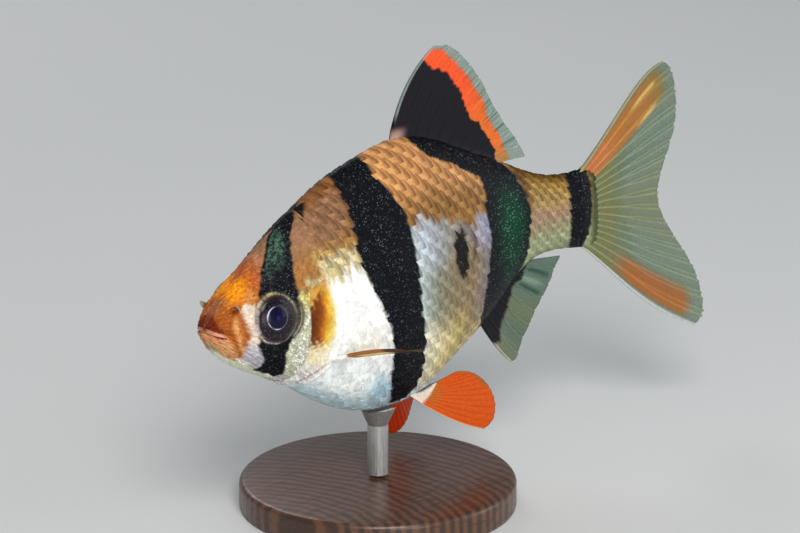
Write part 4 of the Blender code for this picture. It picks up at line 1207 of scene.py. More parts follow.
def make_scales(side, part, finish, sites):
    """Overlapping scales of one stretch of one side, each a small closed plate."""
    to_angle = arc_to_angle()
    v = np.linspace(-SCALE_HALF, SCALE_HALF, SCALE_COLUMNS)[None, None, :]
    t = np.linspace(0, 1, SCALE_LINES)[None, :, None] ** 0.85
    centre = sites[:, 0][:, None, None]
    row = sites[:, 1][:, None, None]
    jog, swell, lift, tint = (sites[:, k][:, None, None] for k in (2, 3, 4, 5))
    length = scale_length(centre)
    lean = SCALE_LEAN * v
    tip = (0.50 + 0.02 * swell) * (1 - 0.20 * np.abs(v / SCALE_HALF) ** 3.0) + 0.015 * jog + lean
    root = -0.72 + 0.10 * np.abs(v)
    s = centre + (root + (tip - root) * t) * length
    angle = to_angle(s, (row + v) * scale_row(s))
    degrees = np.degrees(angle)
    white = ease(66, 74, degrees) * fade(0.36, 0.42, s)
    nape = fade(0.27, 0.33, s)
    rise = scale_rise(s, degrees, lift, t, v, white, nape)
    outward = side * angle
    taper = tail_taper(s) * np.abs(np.sin(angle))
    count = len(sites)
    top = place(skin_point(s, outward, rise - taper)).reshape(count, -1, 3)
    bottom = place(skin_point(s, outward, -COAT - SCALE_SINK - taper)).reshape(count, -1, 3)
    faces, rim, own = scale_faces(count, side)
    bottom = bottom[:, rim]
    points = np.concatenate([top, bottom, bottom.mean(axis=1, keepdims=True)], axis=1)
    mixed_s = (1 - MARKING_HOLD) * s + MARKING_HOLD * (centre + 0.1 * length)
    mixed_angle = to_angle(mixed_s, (row + (1 - MARKING_HOLD) * v) * scale_row(mixed_s))
    fields = markings(mixed_s, mixed_angle)
    edge = ease(0.66, 0.98, t) * (0.70 + 0.30 * ease(-0.45, 0.25, v)) * (1 - 0.30 * nape)
    side_edge = 0.12 * ease(0.80, 1.0, np.abs(v) / SCALE_HALF) * ease(0.40, 0.7, t)
    edge = np.maximum(edge, side_edge)
    plain = 1 - 0.88 * white
    blue = ease(60, 66, degrees) * ease(0.42, 0.46, s)
    fields["rim"] = np.clip(edge * plain * (1 - 0.35 * blue) * (1 - fields["band"]), 0, 1)
    # Painted highlight: the middle of each scale made lighter
    painted_highlight = bump(t - 0.50, 0.22) * bump(v + 0.06, 0.50) * plain
    fields["paint"] = fields["paint"] * (1 + 0.10 * painted_highlight)[..., None]
    fields["tint"] = 0.5 + 0.5 * tint + 0 * s
    fields["flow"] = flow(s, outward)
    for key, values in fields.items():
        per = values.reshape(count, -1, *values.shape[3:])
        full = np.concatenate([per, per[:, rim], per[:, :1]], axis=1)
        fields[key] = full.reshape(count * own, *full.shape[2:])
    name = f"scales_{side_word(side)}_{part}"
    made = mesh_piece(name, points.reshape(-1, 3), faces, finish, fields)
    made.data.set_sharp_from_angle(angle=SHARP_ANGLE)
    add_patches(made, sites, own, side)
    return made


def add_patches(piece, sites, own, side):
    """UV map that lays each scale as a small patch at its root's place on the unwrapped skin."""
    mesh = piece.data
    layer = mesh.uv_layers.new(name="OFBake")
    index = np.zeros(len(mesh.loops), dtype=np.int32)
    mesh.loops.foreach_get("vertex_index", index)
    which = index // own
    inside = index % own
    root_u = 0.02 + 0.46 * (sites[:, 0] - 0.15) / 0.90 + (0.5 if side > 0 else 0.0)
    root_v = 0.02 + 0.90 * (sites[:, 1] * scale_row(sites[:, 0]) + 0.33) / 0.75
    across = (inside % SCALE_COLUMNS) / SCALE_COLUMNS
    along = np.minimum(inside // SCALE_COLUMNS, SCALE_LINES) / (SCALE_LINES + 1)
    uv = np.stack([root_u[which] + PATCH * along, root_v[which] + PATCH * across], axis=1)
    layer.data.foreach_set("uv", uv.astype(np.float32).ravel())


# Fins
def fin_middle(root, edge, u, v, bow, shift):
    """Middle surface of a fin, the same as in its solid, run on a little inside the body."""
    from_root = root(u)[:, None, :]
    to_edge = edge(u)[:, None, :]
    uu, vv = u[:, None], v[None, :]
    arch = (4 * vv * (1 - vv) * (1 - uu) ** 2)[..., None] * np.array(bow)
    middle = from_root * (1 - vv[..., None]) + to_edge * vv[..., None] + arch
    return shift(middle, uu, vv) if shift else middle


def ray_field(u, v, rays, width, plain, draw, first_fork=0.40):
    """Height of the forked rays at each (u, v), 0 to 1, and how near each point is to a ray."""
    gap = 1.0 / (rays - 1)
    field = np.zeros(np.broadcast_shapes(u.shape, v.shape))
    for k in range(rays):
        fork = first_fork + 0.08 * draw.uniform(-1, 1)
        second = first_fork + 0.26 + 0.06 * draw.uniform(-1, 1)
        sway = 0.05 * draw.uniform(-1, 1)
        tips = [0.0] if k in plain else [-1.5, -0.5, 0.5, 1.5]
        for tip in tips:
            half = 1.0 if tip > 0 else -1.0 if tip < 0 else 0.0
            spread = (0.155 * half * ease(fork, fork + 0.35, v) + 0.090 * (tip - half)
                      * ease(second, 1.02, v))
            centre = k * gap + (spread + sway * v * (1 - v) * 4) * gap
            reach = np.abs(u - centre) * width(v)
            thick = 0.0021 * (1 - 0.55 * v) if tip else 0.0026 * (1 - 0.45 * v)
            field = np.maximum(field, np.exp(-(reach / thick) ** 2))
    return field


# Fins: half their thickness at the margin, and how thick their front edge is
FIN_HALF = 0.0011
FIN_LEAD = 0.0012
FIN_LEAD_WIDTH = 0.0045


def fin_half(u, vv, inner, width, thick_root, ridge, field, joints):
    """Half a fin's thickness, with its thick root, its rays, its front edge and its thin margin."""
    up = np.clip(vv, 0, 1)
    half = FIN_HALF + (thick_root - FIN_HALF) * fade(inner, 0.20, vv) ** 1.4
    half = half + ridge * field * joints * (1 - 0.55 * up) * ease(0.0, 0.10, vv + 0.02)
    lead = np.exp(-(u[:, None] * width(vv) / FIN_LEAD_WIDTH) ** 2)
    half = half + FIN_LEAD * lead * (1 - 0.6 * up)
    return half * (1 - 0.55 * ease(0.90, 1.0, vv))


def make_fin(name, nodes, root, edge, across, rays, paint, finish, bow=(0, 0, 0), shift=None,
             columns_each=18, rows=110, sink=0.030, thick_root=0.0060, seed=1, plain=(0,),
             ruffle=0.0012,
             first_fork=0.40, notch=1.0, ridge=0.0019):
    """Fin with a thin membrane, raised forked rays and a finely notched edge."""
    draw = np.random.default_rng(seed)
    columns = (rays - 1) * columns_each + 1
    u = np.linspace(0, 1, columns)
    v0 = np.linspace(0, 1, rows)
    spread_edge = np.linalg.norm(np.diff(edge(np.linspace(0, 1, 60)), axis=0), axis=1).sum()
    spread_root = np.linalg.norm(root(1.0) - root(0.0))

    def width(at):
        """Width of the fin at a share of its height."""
        return spread_root + (spread_edge - spread_root) * at

    tips = ray_field(u[:, None], np.array([[1.0]]), rays, width, plain, np.random.default_rng(seed),
                     first_fork)[:, 0]
    nicks = np.interp(u, np.linspace(0, 1, 4 * rays), draw.uniform(0, 1, 4 * rays))
    reach = 1 - notch * (0.016 * (1 - tips) + 0.012 * nicks)
    height = np.linalg.norm(edge(0.5) - root(0.5))
    inner = -sink / height
    v = inner + (1 - inner) * v0
    shape = fin_middle(root, edge, u, v, bow, shift)
    vv = v[None, :] * np.ones((columns, 1))
    trimmed = np.where(vv > 0, vv * (1 - (1 - reach[:, None]) * ease(0.7, 1.0, vv)), vv)
    full = np.stack([np.stack([np.interp(trimmed[i], v, shape[i, :, k]) for k in range(3)], axis=-1)
                     for i in range(columns)])
    field = ray_field(u[:, None], vv, rays, width, plain, np.random.default_rng(seed), first_fork)
    across = np.array(across, dtype=float)
    across /= np.linalg.norm(across)
    up = np.clip(vv, 0, 1)
    wave = np.sin(2 * math.pi * (rays - 1) * u + 1.57)[:, None] * ruffle * up ** 1.5
    slow = np.interp(u, np.linspace(0, 1, 9), draw.uniform(-1, 1, 9))[:, None]
    slow = slow * 1.8 * ruffle * up ** 2
    joints = (1 - 0.20 * (np.sin(vv * 2 * math.pi * 34 + 9 * u[:, None]) > 0.80)
              * ease(0.25, 0.45, vv))
    half = fin_half(u, vv, inner, width, thick_root, ridge, field, joints)
    middle = full + (wave + slow)[..., None] * across
    upper = place(middle + half[..., None] * across).reshape(-1, 3)
    under = place(middle - half[..., None] * across).reshape(-1, 3)
    count = columns * rows
    one = grid_faces(columns, rows)
    rim = grid_rim(columns, rows)
    wall = np.stack([np.roll(rim, -1), rim, rim + count, np.roll(rim, -1) + count], axis=1)
    faces = np.concatenate([one, one[:, ::-1] + count, wall])
    colour, clear = paint(u[:, None] * np.ones_like(vv), vv, field * joints)
    colour = colour.reshape(-1, 3)
    fields = {"paint": np.concatenate([colour] * 2),
              "clear": np.concatenate([clear.reshape(-1)] * 2)}
    made = mesh_piece(name, np.concatenate([upper, under]), faces, finish, fields)
    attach(made, "root")
    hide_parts(*nodes)
    return made


def along_back(first, last, height):
    """Path on the middle plane along the back or the belly."""
    s = np.linspace(first, last, 7)
    return path(np.stack([s, np.zeros(7), height(s)], axis=1))


def streaks(u, rays, amount, seed):
    """Irregular steps from ray to ray."""
    draw = np.random.default_rng(seed)
    at = np.linspace(0, 1, 3 * rays)
    return amount * np.interp(u, at, draw.uniform(-1, 1, len(at)))


FIN_CLEAR = tone(96, 124, 104)
FIN_PALE = tone(176, 196, 180)
FIN_RED = tone(236, 84, 36)
FIN_ORANGE = tone(222, 108, 40)
FIN_TAN = tone(176, 126, 66)
FIN_BLACK = tone(12, 9, 18)
PELVIC_ORANGE = tone(204, 76, 2)
PELVIC_RED = tone(206, 54, 8)
DORSAL_SLIT = tone(26, 40, 34)
DORSAL_FRONT = tone(150, 164, 160)
DORSAL_FOOT = tone(190, 152, 140)
TAIL_GREEN = tone(108, 132, 108)
TAIL_OLIVE = tone(120, 122, 68)
TAIL_FOOT = tone(112, 112, 68)
TAIL_STEM = tone(110, 114, 78)
TAIL_GROOVE = tone(66, 86, 62)
TAIL_RAY = tone(160, 168, 128)
TAIL_DARK = tone(44, 66, 48)
LOBE_ROOT = tone(190, 112, 62)
LOBE_ORANGE = tone(176, 112, 40)
LOBE_TIP = tone(150, 116, 44)
LOWER_LOBE_ORANGE = tone(166, 98, 42)
LOBE_PALE = tone(232, 206, 110)
TAIL_UPPER_EDGE = tone(170, 160, 122)
TAIL_LOWER_EDGE = tone(206, 212, 206)
ANAL_GREEN = tone(62, 94, 76)
ANAL_OLIVE = tone(86, 100, 56)
ANAL_FOOT = tone(98, 106, 76)
ANAL_RAY = tone(118, 142, 116)
ANAL_SHADE = tone(24, 66, 54)
ANAL_PALE = tone(140, 166, 144)
ANAL_FRONT = tone(196, 190, 158)
ANAL_BLACK = tone(14, 12, 20)
PELVIC_RAY = tone(244, 116, 24)
PELVIC_FOOT = tone(168, 98, 22)
PELVIC_ROOT = tone(226, 214, 200)
PELVIC_FRONT = tone(226, 186, 120)
PELVIC_MARGIN = tone(150, 92, 28)
PECTORAL_CLEAR = tone(250, 226, 160)
PECTORAL_RAY = tone(206, 150, 70)
PECTORAL_FRONT = tone(138, 76, 14)
PECTORAL_FOOT = tone(150, 86, 18)
PECTORAL_ROOT = tone(250, 250, 244)
PECTORAL_TIP = tone(46, 32, 24)


def paint_dorsal(u, v, ray):
    """Black fin with a ragged orange-red band and a clear margin."""
    black_top = line([
        (0, 0.79), (0.1, 0.70), (0.2, 0.72), (0.3, 0.69), (0.36, 0.67), (0.42, 0.60), (0.5, 0.55),
        (0.55, 0.50), (0.60, 0.585), (0.64, 0.53), (0.70, 0.505), (0.75, 0.47), (0.80, 0.38),
        (0.86, 0.31), (0.90, 0.12), (0.94, 0), (1, -0.1)])(u)
    orange_top = line([
        (0, 0.96), (0.1, 0.92), (0.2, 0.88), (0.36, 0.88), (0.42, 0.85), (0.5, 0.87), (0.56, 0.84),
        (0.62, 0.76), (0.7, 0.73), (0.75, 0.74), (0.8, 0.67), (0.86, 0.58), (0.92, 0.50),
        (1, 0.34)])(u)
    black_top = black_top + streaks(u, 22, 0.018, 5)
    orange_top = orange_top + streaks(u, 22, 0.020, 6)
    bright = mix(FIN_RED + 0 * u[..., None], FIN_ORANGE, ease(0.30, 0.70, u))
    bright = mix(bright, FIN_TAN, ease(0.80, 0.96, u))
    bright = bright * (0.94 + 0.10 * ray)[..., None]
    colour = mix(FIN_BLACK + 0 * u[..., None], bright,
                 ease(black_top - 0.010, black_top + 0.022, v))
    margin = ease(orange_top - 0.030, orange_top + 0.040, v)
    colour = layered(
        colour,
        (FIN_CLEAR, margin),
        (FIN_PALE, margin * ray * 0.65))
    slits = ease(0.35, 0.75, streaks(u, 34, 1.0, 14)) * (1 - ray) * ease(0.28, 0.40, u)
    colour = mix(colour, DORSAL_SLIT, 0.7 * slits * ease(orange_top - 0.16, orange_top, v)
                 * fade(0.94, 1.0, v))
    lead = fade(0.004, 0.012, u) * ease(0.12, 0.25, v)
    colour = mix(colour, DORSAL_FRONT, 0.6 * lead)
    foot = fade(0.03, 0.14, u) * fade(0.02, 0.11, v)
    colour = mix(colour, DORSAL_FOOT, 0.8 * foot)
    clear = 0.66 * margin * (1 - 0.75 * ray) + 0.10 * ease(0.85, 1, u) * (1 - margin)
    return colour, clear * (1 - 0.6 * slits)


def paint_caudal(u, v, ray):
    """Clear grey-green tail with an orange-brown stripe along each lobe's edge."""
    wide = 0.190 - 0.085 * v
    upper = ease(0.004, 0.022, u) * fade(wide - 0.030, wide + 0.020, u) * fade(0.74, 0.95, v)
    start = 0.850 + 0.030 * v
    lower = ease(start - 0.030, start + 0.040, u) * fade(0.968, 0.986, u)
    lower = lower * ease(0.16, 0.36, v) * fade(0.80, 0.94, v)
    root = fade(0.10, 0.42, v)
    base = mix(TAIL_GREEN + 0 * u[..., None], TAIL_OLIVE, 0.8 * bump(u - 0.52, 0.13))
    base = layered(
        base,
        (TAIL_FOOT, root),
        (TAIL_STEM, 0.8 * fade(0.03, 0.14, v)))
    colour = mix(base, TAIL_GROOVE, (1 - ray) * 0.42 * ease(0.15, 0.4, v))
    colour = mix(colour, TAIL_RAY, ray * 0.45)
    dark = ease(0.35, 0.8, streaks(u, 30, 1.0, 15)) * ease(0.24, 0.34, v) * fade(0.66, 0.80, v)
    colour = mix(colour, TAIL_DARK, 0.70 * dark * bump(u - 0.36, 0.09))
    orange = mix(LOBE_ROOT + 0 * u[..., None], LOBE_ORANGE, ease(0.10, 0.35, v))
    orange = mix(orange, LOBE_TIP, ease(0.55, 0.80, v))
    grain = 0.90 + 0.20 * ray + 0.10 * streaks(u, 40, 1.0, 16)
    colour = layered(
        colour,
        (orange * grain[..., None], upper * 0.90),
        (LOWER_LOBE_ORANGE * grain[..., None], lower * 0.90))
    pale = bump(u - 0.052, 0.007) * ease(0.40, 0.52, v) * fade(0.70, 0.76, v)
    pale = pale + 0.7 * bump(u - (wide - 0.012), 0.008) * ease(0.44, 0.56, v) * fade(0.66, 0.76, v)
    colour = mix(colour, LOBE_PALE, pale * 0.75)
    edge = fade(0.003, 0.010, u) + ease(0.988, 0.996, u)
    colour = layered(
        colour,
        (TAIL_UPPER_EDGE, fade(0.003, 0.010, u) * 0.7),
        (TAIL_LOWER_EDGE, ease(0.982, 0.994, u) * 0.75))
    clear = ((0.08 + 0.36 * ease(0.10, 0.50, v)) * (1 - 0.60 * ray)
             * (1 - 0.75 * np.maximum(upper, lower)))
    return colour, clear * (1 - 0.5 * np.clip(edge, 0, 1))


def paint_anal(u, v, ray):
    """Clear blue-green fin, black at its front and along its root."""
    top = line([
        (0, 0.46), (0.08, 0.50), (0.15, 0.42), (0.3, 0.36), (0.5, 0.28), (0.56, 0.20),
        (0.66, 0.22), (0.72, 0.28), (0.80, 0.20), (0.9, 0.14), (1.0, 0.06)])(u)
    top = top + streaks(u, 18, 0.025, 8)
    dark = fade(top - 0.04, top + 0.06, v)
    base = mix(ANAL_GREEN + 0 * u[..., None], ANAL_OLIVE, bump(u - 0.42, 0.16))
    base = mix(base, ANAL_FOOT, fade(0.10, 0.22, u))
    colour = mix(base, ANAL_RAY, 0.50 * ray)
    shaded = bump(u - (0.665 - 0.03 * v), 0.022) * ease(0.25, 0.36, v) * fade(0.80, 0.95, v)
    shaded = (shaded + bump(u - (0.865 - 0.05 * v), 0.026) * ease(0.20, 0.32, v)
              * fade(0.84, 0.95, v))
    colour = mix(colour, ANAL_SHADE, 0.85 * shaded)
    pale = bump(u - (0.74 - 0.02 * v), 0.030) * fade(0.6, 0.9, v)
    colour = layered(
        colour,
        (ANAL_PALE, 0.6 * pale),
        (ANAL_FRONT, 0.8 * fade(0.004, 0.030, u) * ease(0.30, 0.50, v)),
        (ANAL_BLACK, dark))
    clear = 0.42 * (1 - dark) * (1 - 0.60 * ray) * (1 - 0.5 * shaded)
    return colour, clear


def paint_pelvic(hue):
    """Painter of a bright fin with a pale leading edge and root."""
    def paint(u, v, ray):
        blotch = streaks(u, 9, 0.5, 17) * np.sin(9 * v) + 0.5
        colour = mix(hue + 0 * u[..., None], hue * 0.80,
                     0.22 * (1 - ray) + 0.35 * np.clip(blotch, 0, 1))
        colour = layered(
            colour,
            (PELVIC_RAY, ray * 0.10),
            (PELVIC_FOOT, fade(0.10, 0.30, v) * ease(0.05, 0.3, u) * 0.7),
            (PELVIC_ROOT, fade(0.010, 0.070, v) * 0.9),
            (PELVIC_FRONT, fade(0.006, 0.022, u) * 0.8))
        margin = ease(0.955, 1.0, v)
        rear = ease(0.42, 0.60, u) * ease(0.86, 0.96, v)
        colour = mix(colour, PELVIC_MARGIN, np.maximum(0.35 * margin, 0.75 * rear))
        clear = (0.02 + 0.30 * margin * ease(0.2, 0.5, u)) * (1 - 0.6 * ray)
        return colour, clear
    return paint


def paint_pectoral(u, v, ray):
    """Thin clear fin with brownish front rays and an orange root."""
    front = fade(0.10, 0.24, u)
    colour = mix(PECTORAL_CLEAR + 0 * u[..., None], PECTORAL_RAY, 0.30 * ray)
    colour = layered(
        colour,
        (PECTORAL_FRONT, 0.95 * front),
        (PECTORAL_FOOT, 0.8 * fade(0.06, 0.20, v)),
        (PECTORAL_ROOT, 0.9 * fade(0.0, 0.05, v)),
        (PECTORAL_TIP, ease(0.52, 0.62, v) * 0.9))
    clear = ((0.30 + 0.50 * ease(0.20, 0.60, v)) * (1 - 0.60 * ray)
             * (1 - 0.95 * front * fade(0.8, 1.0, v)))
    return colour, clear


def twist_lobes(points):
    """Turn the upper lobe of the tail fin to the far side and the lower one to the near side."""
    reach = np.clip((points[..., 0] - 1.0) / 0.25, 0, 2) ** 1.5
    height = (points[..., 2] - CAUDAL_MIDDLE) / 0.27
    moved = points.copy()
    moved[..., 1] += LOBE_TWIST * reach * height
    moved[..., 2] -= CAUDAL_DROOP * reach
    return moved


CAUDAL_MIDDLE = -0.007
CAUDAL_DROOP = 0.022
LOBE_TWIST = 0.040
CAUDAL_ROOT_HEIGHT = 0.088
UPPER_SWELL = 0.037
LOWER_SWELL = 0.021
SWELL_POWER = 1.2
SWELL_OUTWARD = 2.2
LOWER_LOBE = 1.03


def make_fins(finish):
    """All fins, each set in the body where its solid stands."""
    dorsal_edge = path([
        (0.612, 0, 0.402), (0.640, 0, 0.398), (0.668, 0, 0.380), (0.700, 0, 0.347),
        (0.728, 0, 0.307), (0.757, 0, 0.254), (0.790, 0, 0.207), (0.820, 0, 0.165),
        (0.838, 0, 0.134)])
    make_fin("dorsal_fin_skin", ["dorsal_fin"], along_back(0.487, 0.772, back_line),
                     dorsal_edge,
                     (0, 1, 0), 11, paint_dorsal, finish, bow=(-0.016, 0, 0.016), seed=2)
    anal_edge = path([
        (0.785, 0, -0.270), (0.798, 0, -0.268), (0.812, 0, -0.244), (0.828, 0, -0.217),
        (0.849, 0, -0.188), (0.871, 0, -0.159), (0.891, 0, -0.132), (0.904, 0, -0.106),
        (0.918, 0, -0.084)])
    make_fin("anal_fin_skin", ["anal_fin"], along_back(0.700, 0.832, belly_line), anal_edge,
                     (0, 1, 0), 9, paint_anal, finish, bow=(0, 0, -0.008), seed=3)
    turn = np.linspace(0.05 * math.pi, 0.95 * math.pi, 9)
    caudal_root = path(np.stack([tail_root(turn), 0 * turn, CAUDAL_ROOT_HEIGHT * np.cos(turn)],
                                axis=1))
    half = [
        (1.231, 0.264), (1.249, 0.256), (1.260, 0.238), (1.264, 0.208), (1.254, 0.160),
        (1.222, 0.103), (1.187, 0.052)]
    upper = [(s, 0, CAUDAL_MIDDLE + z) for s, z in half]
    lower = [(s, 0, CAUDAL_MIDDLE - LOWER_LOBE * z) for s, z in reversed(half)]
    caudal_edge = path(upper + [(1.168, 0, CAUDAL_MIDDLE)] + lower)

    def swell(points, u, v):
        """Bow the outer rays of both lobes outwards."""
        outward = 2 * u - 1
        reach = np.where(outward > 0, -LOWER_SWELL, UPPER_SWELL)
        moved = points.copy()
        moved[..., 2] += (reach * np.abs(outward) ** SWELL_OUTWARD
                          * np.sin(math.pi * np.clip(v, 0, 1) ** SWELL_POWER))
        return twist_lobes(moved)

    make_fin("caudal_fin_skin", ["caudal_fin"], caudal_root, caudal_edge, (0, 1, 0), 18,
                     paint_caudal, finish, shift=swell, columns_each=16, rows=130, seed=4,
                     plain=(0, 17), thick_root=0.0050, sink=0.020, first_fork=0.26)
    left_root = [(0.494, -0.042, -0.2555), (0.517, -0.043, -0.2465), (0.541, -0.041, -0.2330)]
    left_edge = [
        (0.640, -0.067, -0.348), (0.658, -0.069, -0.341), (0.670, -0.069, -0.325),
        (0.673, -0.067, -0.302), (0.666, -0.063, -0.275), (0.646, -0.058, -0.247),
        (0.617, -0.054, -0.228), (0.590, -0.050, -0.221)]
    right_root = [(0.487, 0.041, -0.2555), (0.513, 0.042, -0.2470), (0.540, 0.040, -0.2330)]
    right_edge = [
        (0.546, 0.099, -0.370), (0.563, 0.099, -0.377), (0.581, 0.095, -0.368),
        (0.594, 0.089, -0.344), (0.598, 0.080, -0.312)]
    pelvics = (("left", left_root, left_edge, PELVIC_ORANGE, (0.002, -0.004, -0.010), 14),
               ("right", right_root, right_edge, PELVIC_RED, (0.004, 0.004, -0.006), 10))
    for name, root, edge, hue, bow, rays in pelvics:
        root, edge = path(root), path(edge)
        plane = np.cross(edge(0.0) - root(0.0), edge(1.0) - root(1.0))
        make_fin(f"pelvic_fin_{name}_skin", [f"pelvic_fin_{name}"], root, edge, plane, rays,
                         paint_pelvic(hue), finish, bow=bow, seed=6, rows=90, columns_each=12,
                         ruffle=0.0002, first_fork=0.22, notch=0.5, ridge=0.0006)
    for side, name in ((-1, "left"), (1, "right")):
        root = path([
            (0.263, side * 0.0985, -0.087), (0.273, side * 0.0995, -0.0905),
            (0.284, side * 0.1010, -0.094)])
        edge = path([
            (0.368, side * 0.160, -0.092), (0.391, side * 0.165, -0.098),
            (0.411, side * 0.153, -0.104), (0.421, side * 0.135, -0.110),
            (0.417, side * 0.119, -0.115)])
        plane = np.cross(edge(0.0) - root(0.0), edge(1.0) - root(1.0))
        make_fin(f"pectoral_fin_{name}_skin", [f"pectoral_fin_{name}"], root, edge, plane,
                         12,
                         paint_pectoral, finish, bow=(0, 0, 0.006), seed=9 + side, rows=80,
                         columns_each=14, thick_root=0.0022, ruffle=0.0002, notch=0.6,
                         ridge=0.0005)


# Eyes
PUPIL = 0.0198
EYE_AROUND = 160
EYE_NAVY = tone(5, 3, 40)
EYE_IRIS = tone(34, 22, 33)
EYE_DEEP_BLUE = tone(58, 60, 132)
EYE_SHADE = tone(16, 12, 20)
EYE_SILVER_HIGHLIGHT = tone(214, 216, 230)
PUPIL_FORWARD = 0.0072
PUPIL_UP = 0.0024
LID_OPEN = (0.0332, 0.0384)
LID_STROKE = (0.0396, 0.0452)
lid_outer = line([(-180, 0.0502), (-90, 0.0530), (0, 0.0545), (90, 0.0530), (180, 0.0502)])
LID_FORWARD = 0.0078
LID_UP = -0.0010


def oval_radius(halves, around):
    """Radius of an oval with half lengths along the head and upright, at degrees round it."""
    turn = np.radians(around)
    return 1 / np.hypot(np.cos(turn) / halves[0], np.sin(turn) / halves[1])


def ball_height(radius):
    """Height of the eyeball's front over its middle plane at a radius."""
    return EYE_BULGE * np.sqrt(np.clip(1 - (radius / EYE_RADIUS) ** 2, 0, 1))


def eye_matrix(side):
    """World placing of an eye, with its own Z looking out of the head."""
    centre = place([EYE_STATION, side * EYE_OFF_MIDDLE, EYE_HEIGHT])
    look = Vector((-math.sin(EYE_TURN), side * math.cos(EYE_TURN), math.sin(EYE_TILT)))
    return Matrix.Translation(Vector(centre)) @ look.to_track_quat("Z", "Y").to_matrix().to_4x4()


def front_angle(swing, side):
    """Degrees round the eye, 0 in front of it and 90 above it, for a turn in its own frame."""
    ahead = np.cos(swing) * side
    return np.degrees(np.arctan2(np.sin(swing), ahead))


def make_eye(side, finish):
    """Eyeball with a raised navy pupil, a silver arc before it that is partly a painted highlight,
    a small painted highlight below it and a dark violet iris.
    """
    polar = np.concatenate([np.linspace(0, 0.5 * math.pi, 100)[1:],
                            np.linspace(0.5 * math.pi, math.pi, 24)[1:-1]])
    turn = np.linspace(0, 2 * math.pi, EYE_AROUND, endpoint=False)
    radius = EYE_RADIUS * np.sin(polar)
    height = np.where(np.cos(polar) > 0, EYE_BULGE, EYE_DEPTH) * np.cos(polar)
    x = radius[:, None] * np.cos(turn)
    y = radius[:, None] * np.sin(turn)
    from_pupil = np.hypot(x - side * PUPIL_FORWARD, y - PUPIL_UP)
    dome = 0.0008 * bump(from_pupil / PUPIL, 0.9) - 0.0005 * bump(from_pupil - 1.25 * PUPIL, 0.004)
    z = height[:, None] + np.where(np.cos(polar)[:, None] > 0, dome, 0)
    local = np.stack([x, y, z], axis=-1).reshape(-1, 3)
    poles = np.array([[0, 0, EYE_BULGE + 0.0007], [0, 0, -EYE_DEPTH]])
    local = np.concatenate([local, poles]) * STANDARD_LENGTH
    turned = np.array(eye_matrix(side))
    points = local @ turned[:3, :3].T + turned[:3, 3]
    reach = np.concatenate([from_pupil.ravel(), [0, 0]])
    swing = np.concatenate([np.arctan2(y - PUPIL_UP, x - side * PUPIL_FORWARD).ravel(), [0, 0]])
    around = front_angle(swing, side)
    colour = mix(EYE_NAVY + 0 * reach[:, None], EYE_IRIS,
                 ease(PUPIL + 0.0006, PUPIL + 0.0020, reach))
    colour = layered(
        colour,
        (EYE_DEEP_BLUE, 0.5 * bump(reach, 0.0030)),
        (EYE_SHADE, bump(reach - 0.0290, 0.0060) * 0.7))
    # Silver arc before the pupil, brightest towards the light as a painted highlight, and a small
    # painted highlight below the pupil
    silver_highlight = line([
        (-180, 0.16), (-150, 0.20), (-128, 0.16), (-106, 0.20), (-92, 0.70), (-76, 0.90),
        (-62, 0.25), (-48, 0.20), (-35, 0.60), (-22, 0.50), (-10, 0.18), (4, 0.60), (20, 1.0),
        (42, 1.0), (60, 0.80), (74, 0.45), (86, 0.06), (120, 0.05), (150, 0.14),
        (180, 0.16)])(around)
    thick = line([
        (-180, 0.0007), (-84, 0.0009), (-20, 0.0009), (25, 0.0012), (60, 0.0008),
        (180, 0.0007)])(around)
    colour = mix(colour, EYE_SILVER_HIGHLIGHT, silver_highlight * np.exp(-((reach - PUPIL - 0.0010) / thick) ** 2))
    iris = ease(PUPIL + 0.003, PUPIL + 0.006, reach)
    made = mesh_piece(f"eye_{side_word(side)}_ball", points, ball_faces(len(polar), EYE_AROUND),
                      finish, {"paint": colour, "iris": iris})
    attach(made, "root")
    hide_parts(f"eye_{side_word(side)}")


# Lid: seed of its uneven edges, rows, turned-in depth, and how softly it passes from ball to skin
LID_SEED = 41
LID_ROWS = 22
LID_SKIRT = 0.006
LID_SOFT = 0.0012
LID_OVER_BALL = 0.0004
LID_DARK = tone(34, 24, 26)
LID_SHADE = tone(38, 30, 34)
# Brightness of the silver stroke round the eye, highest towards the light: partly a painted
# highlight
stroke_highlight = line([
    (-180, 0.50), (-150, 0.50), (-118, 0.60), (-95, 0.80), (-78, 0.70), (-66, 0.95), (-48, 0.90),
    (-30, 0.90), (-8, 0.80), (8, 0.50), (26, 0.65), (42, 0.95), (56, 0.90), (68, 0.60), (84, 0.85),
    (100, 0.80), (114, 0.30), (128, 0.85), (146, 0.70), (160, 0.50), (180, 0.50)])
# Hues of the stroke round the eye: painted highlight at the front, painted shade at the rear
STROKE_LIGHT_AND_SHADE_HUES = [
    (-180, 120, 108, 92), (-110, 186, 170, 172), (-60, 222, 214, 212), (-10, 238, 226, 224),
    (20, 232, 224, 206), (50, 236, 232, 190), (90, 206, 214, 156), (135, 178, 178, 162),
    (180, 138, 126, 110)]


def skin_round_eye(side, inside):
    """Points of the skin round an eye, in the eye's own frame, with their stations and angles."""
    angles = side * np.radians(np.linspace(15, 145, 196))
    at_s, at_angle = np.meshgrid(np.linspace(0.05, 0.22, 171), angles, indexing="ij")
    surface = place(skin_point(at_s, at_angle, head_relief(at_s, at_angle))).reshape(-1, 3)
    surface = (surface @ inside[:3, :3].T + inside[:3, 3]) / STANDARD_LENGTH
    keep = np.hypot(surface[:, 0], surface[:, 1]) > EYE_RADIUS
    return surface[keep], np.stack([at_s.ravel()[keep], at_angle.ravel()[keep]], axis=1)


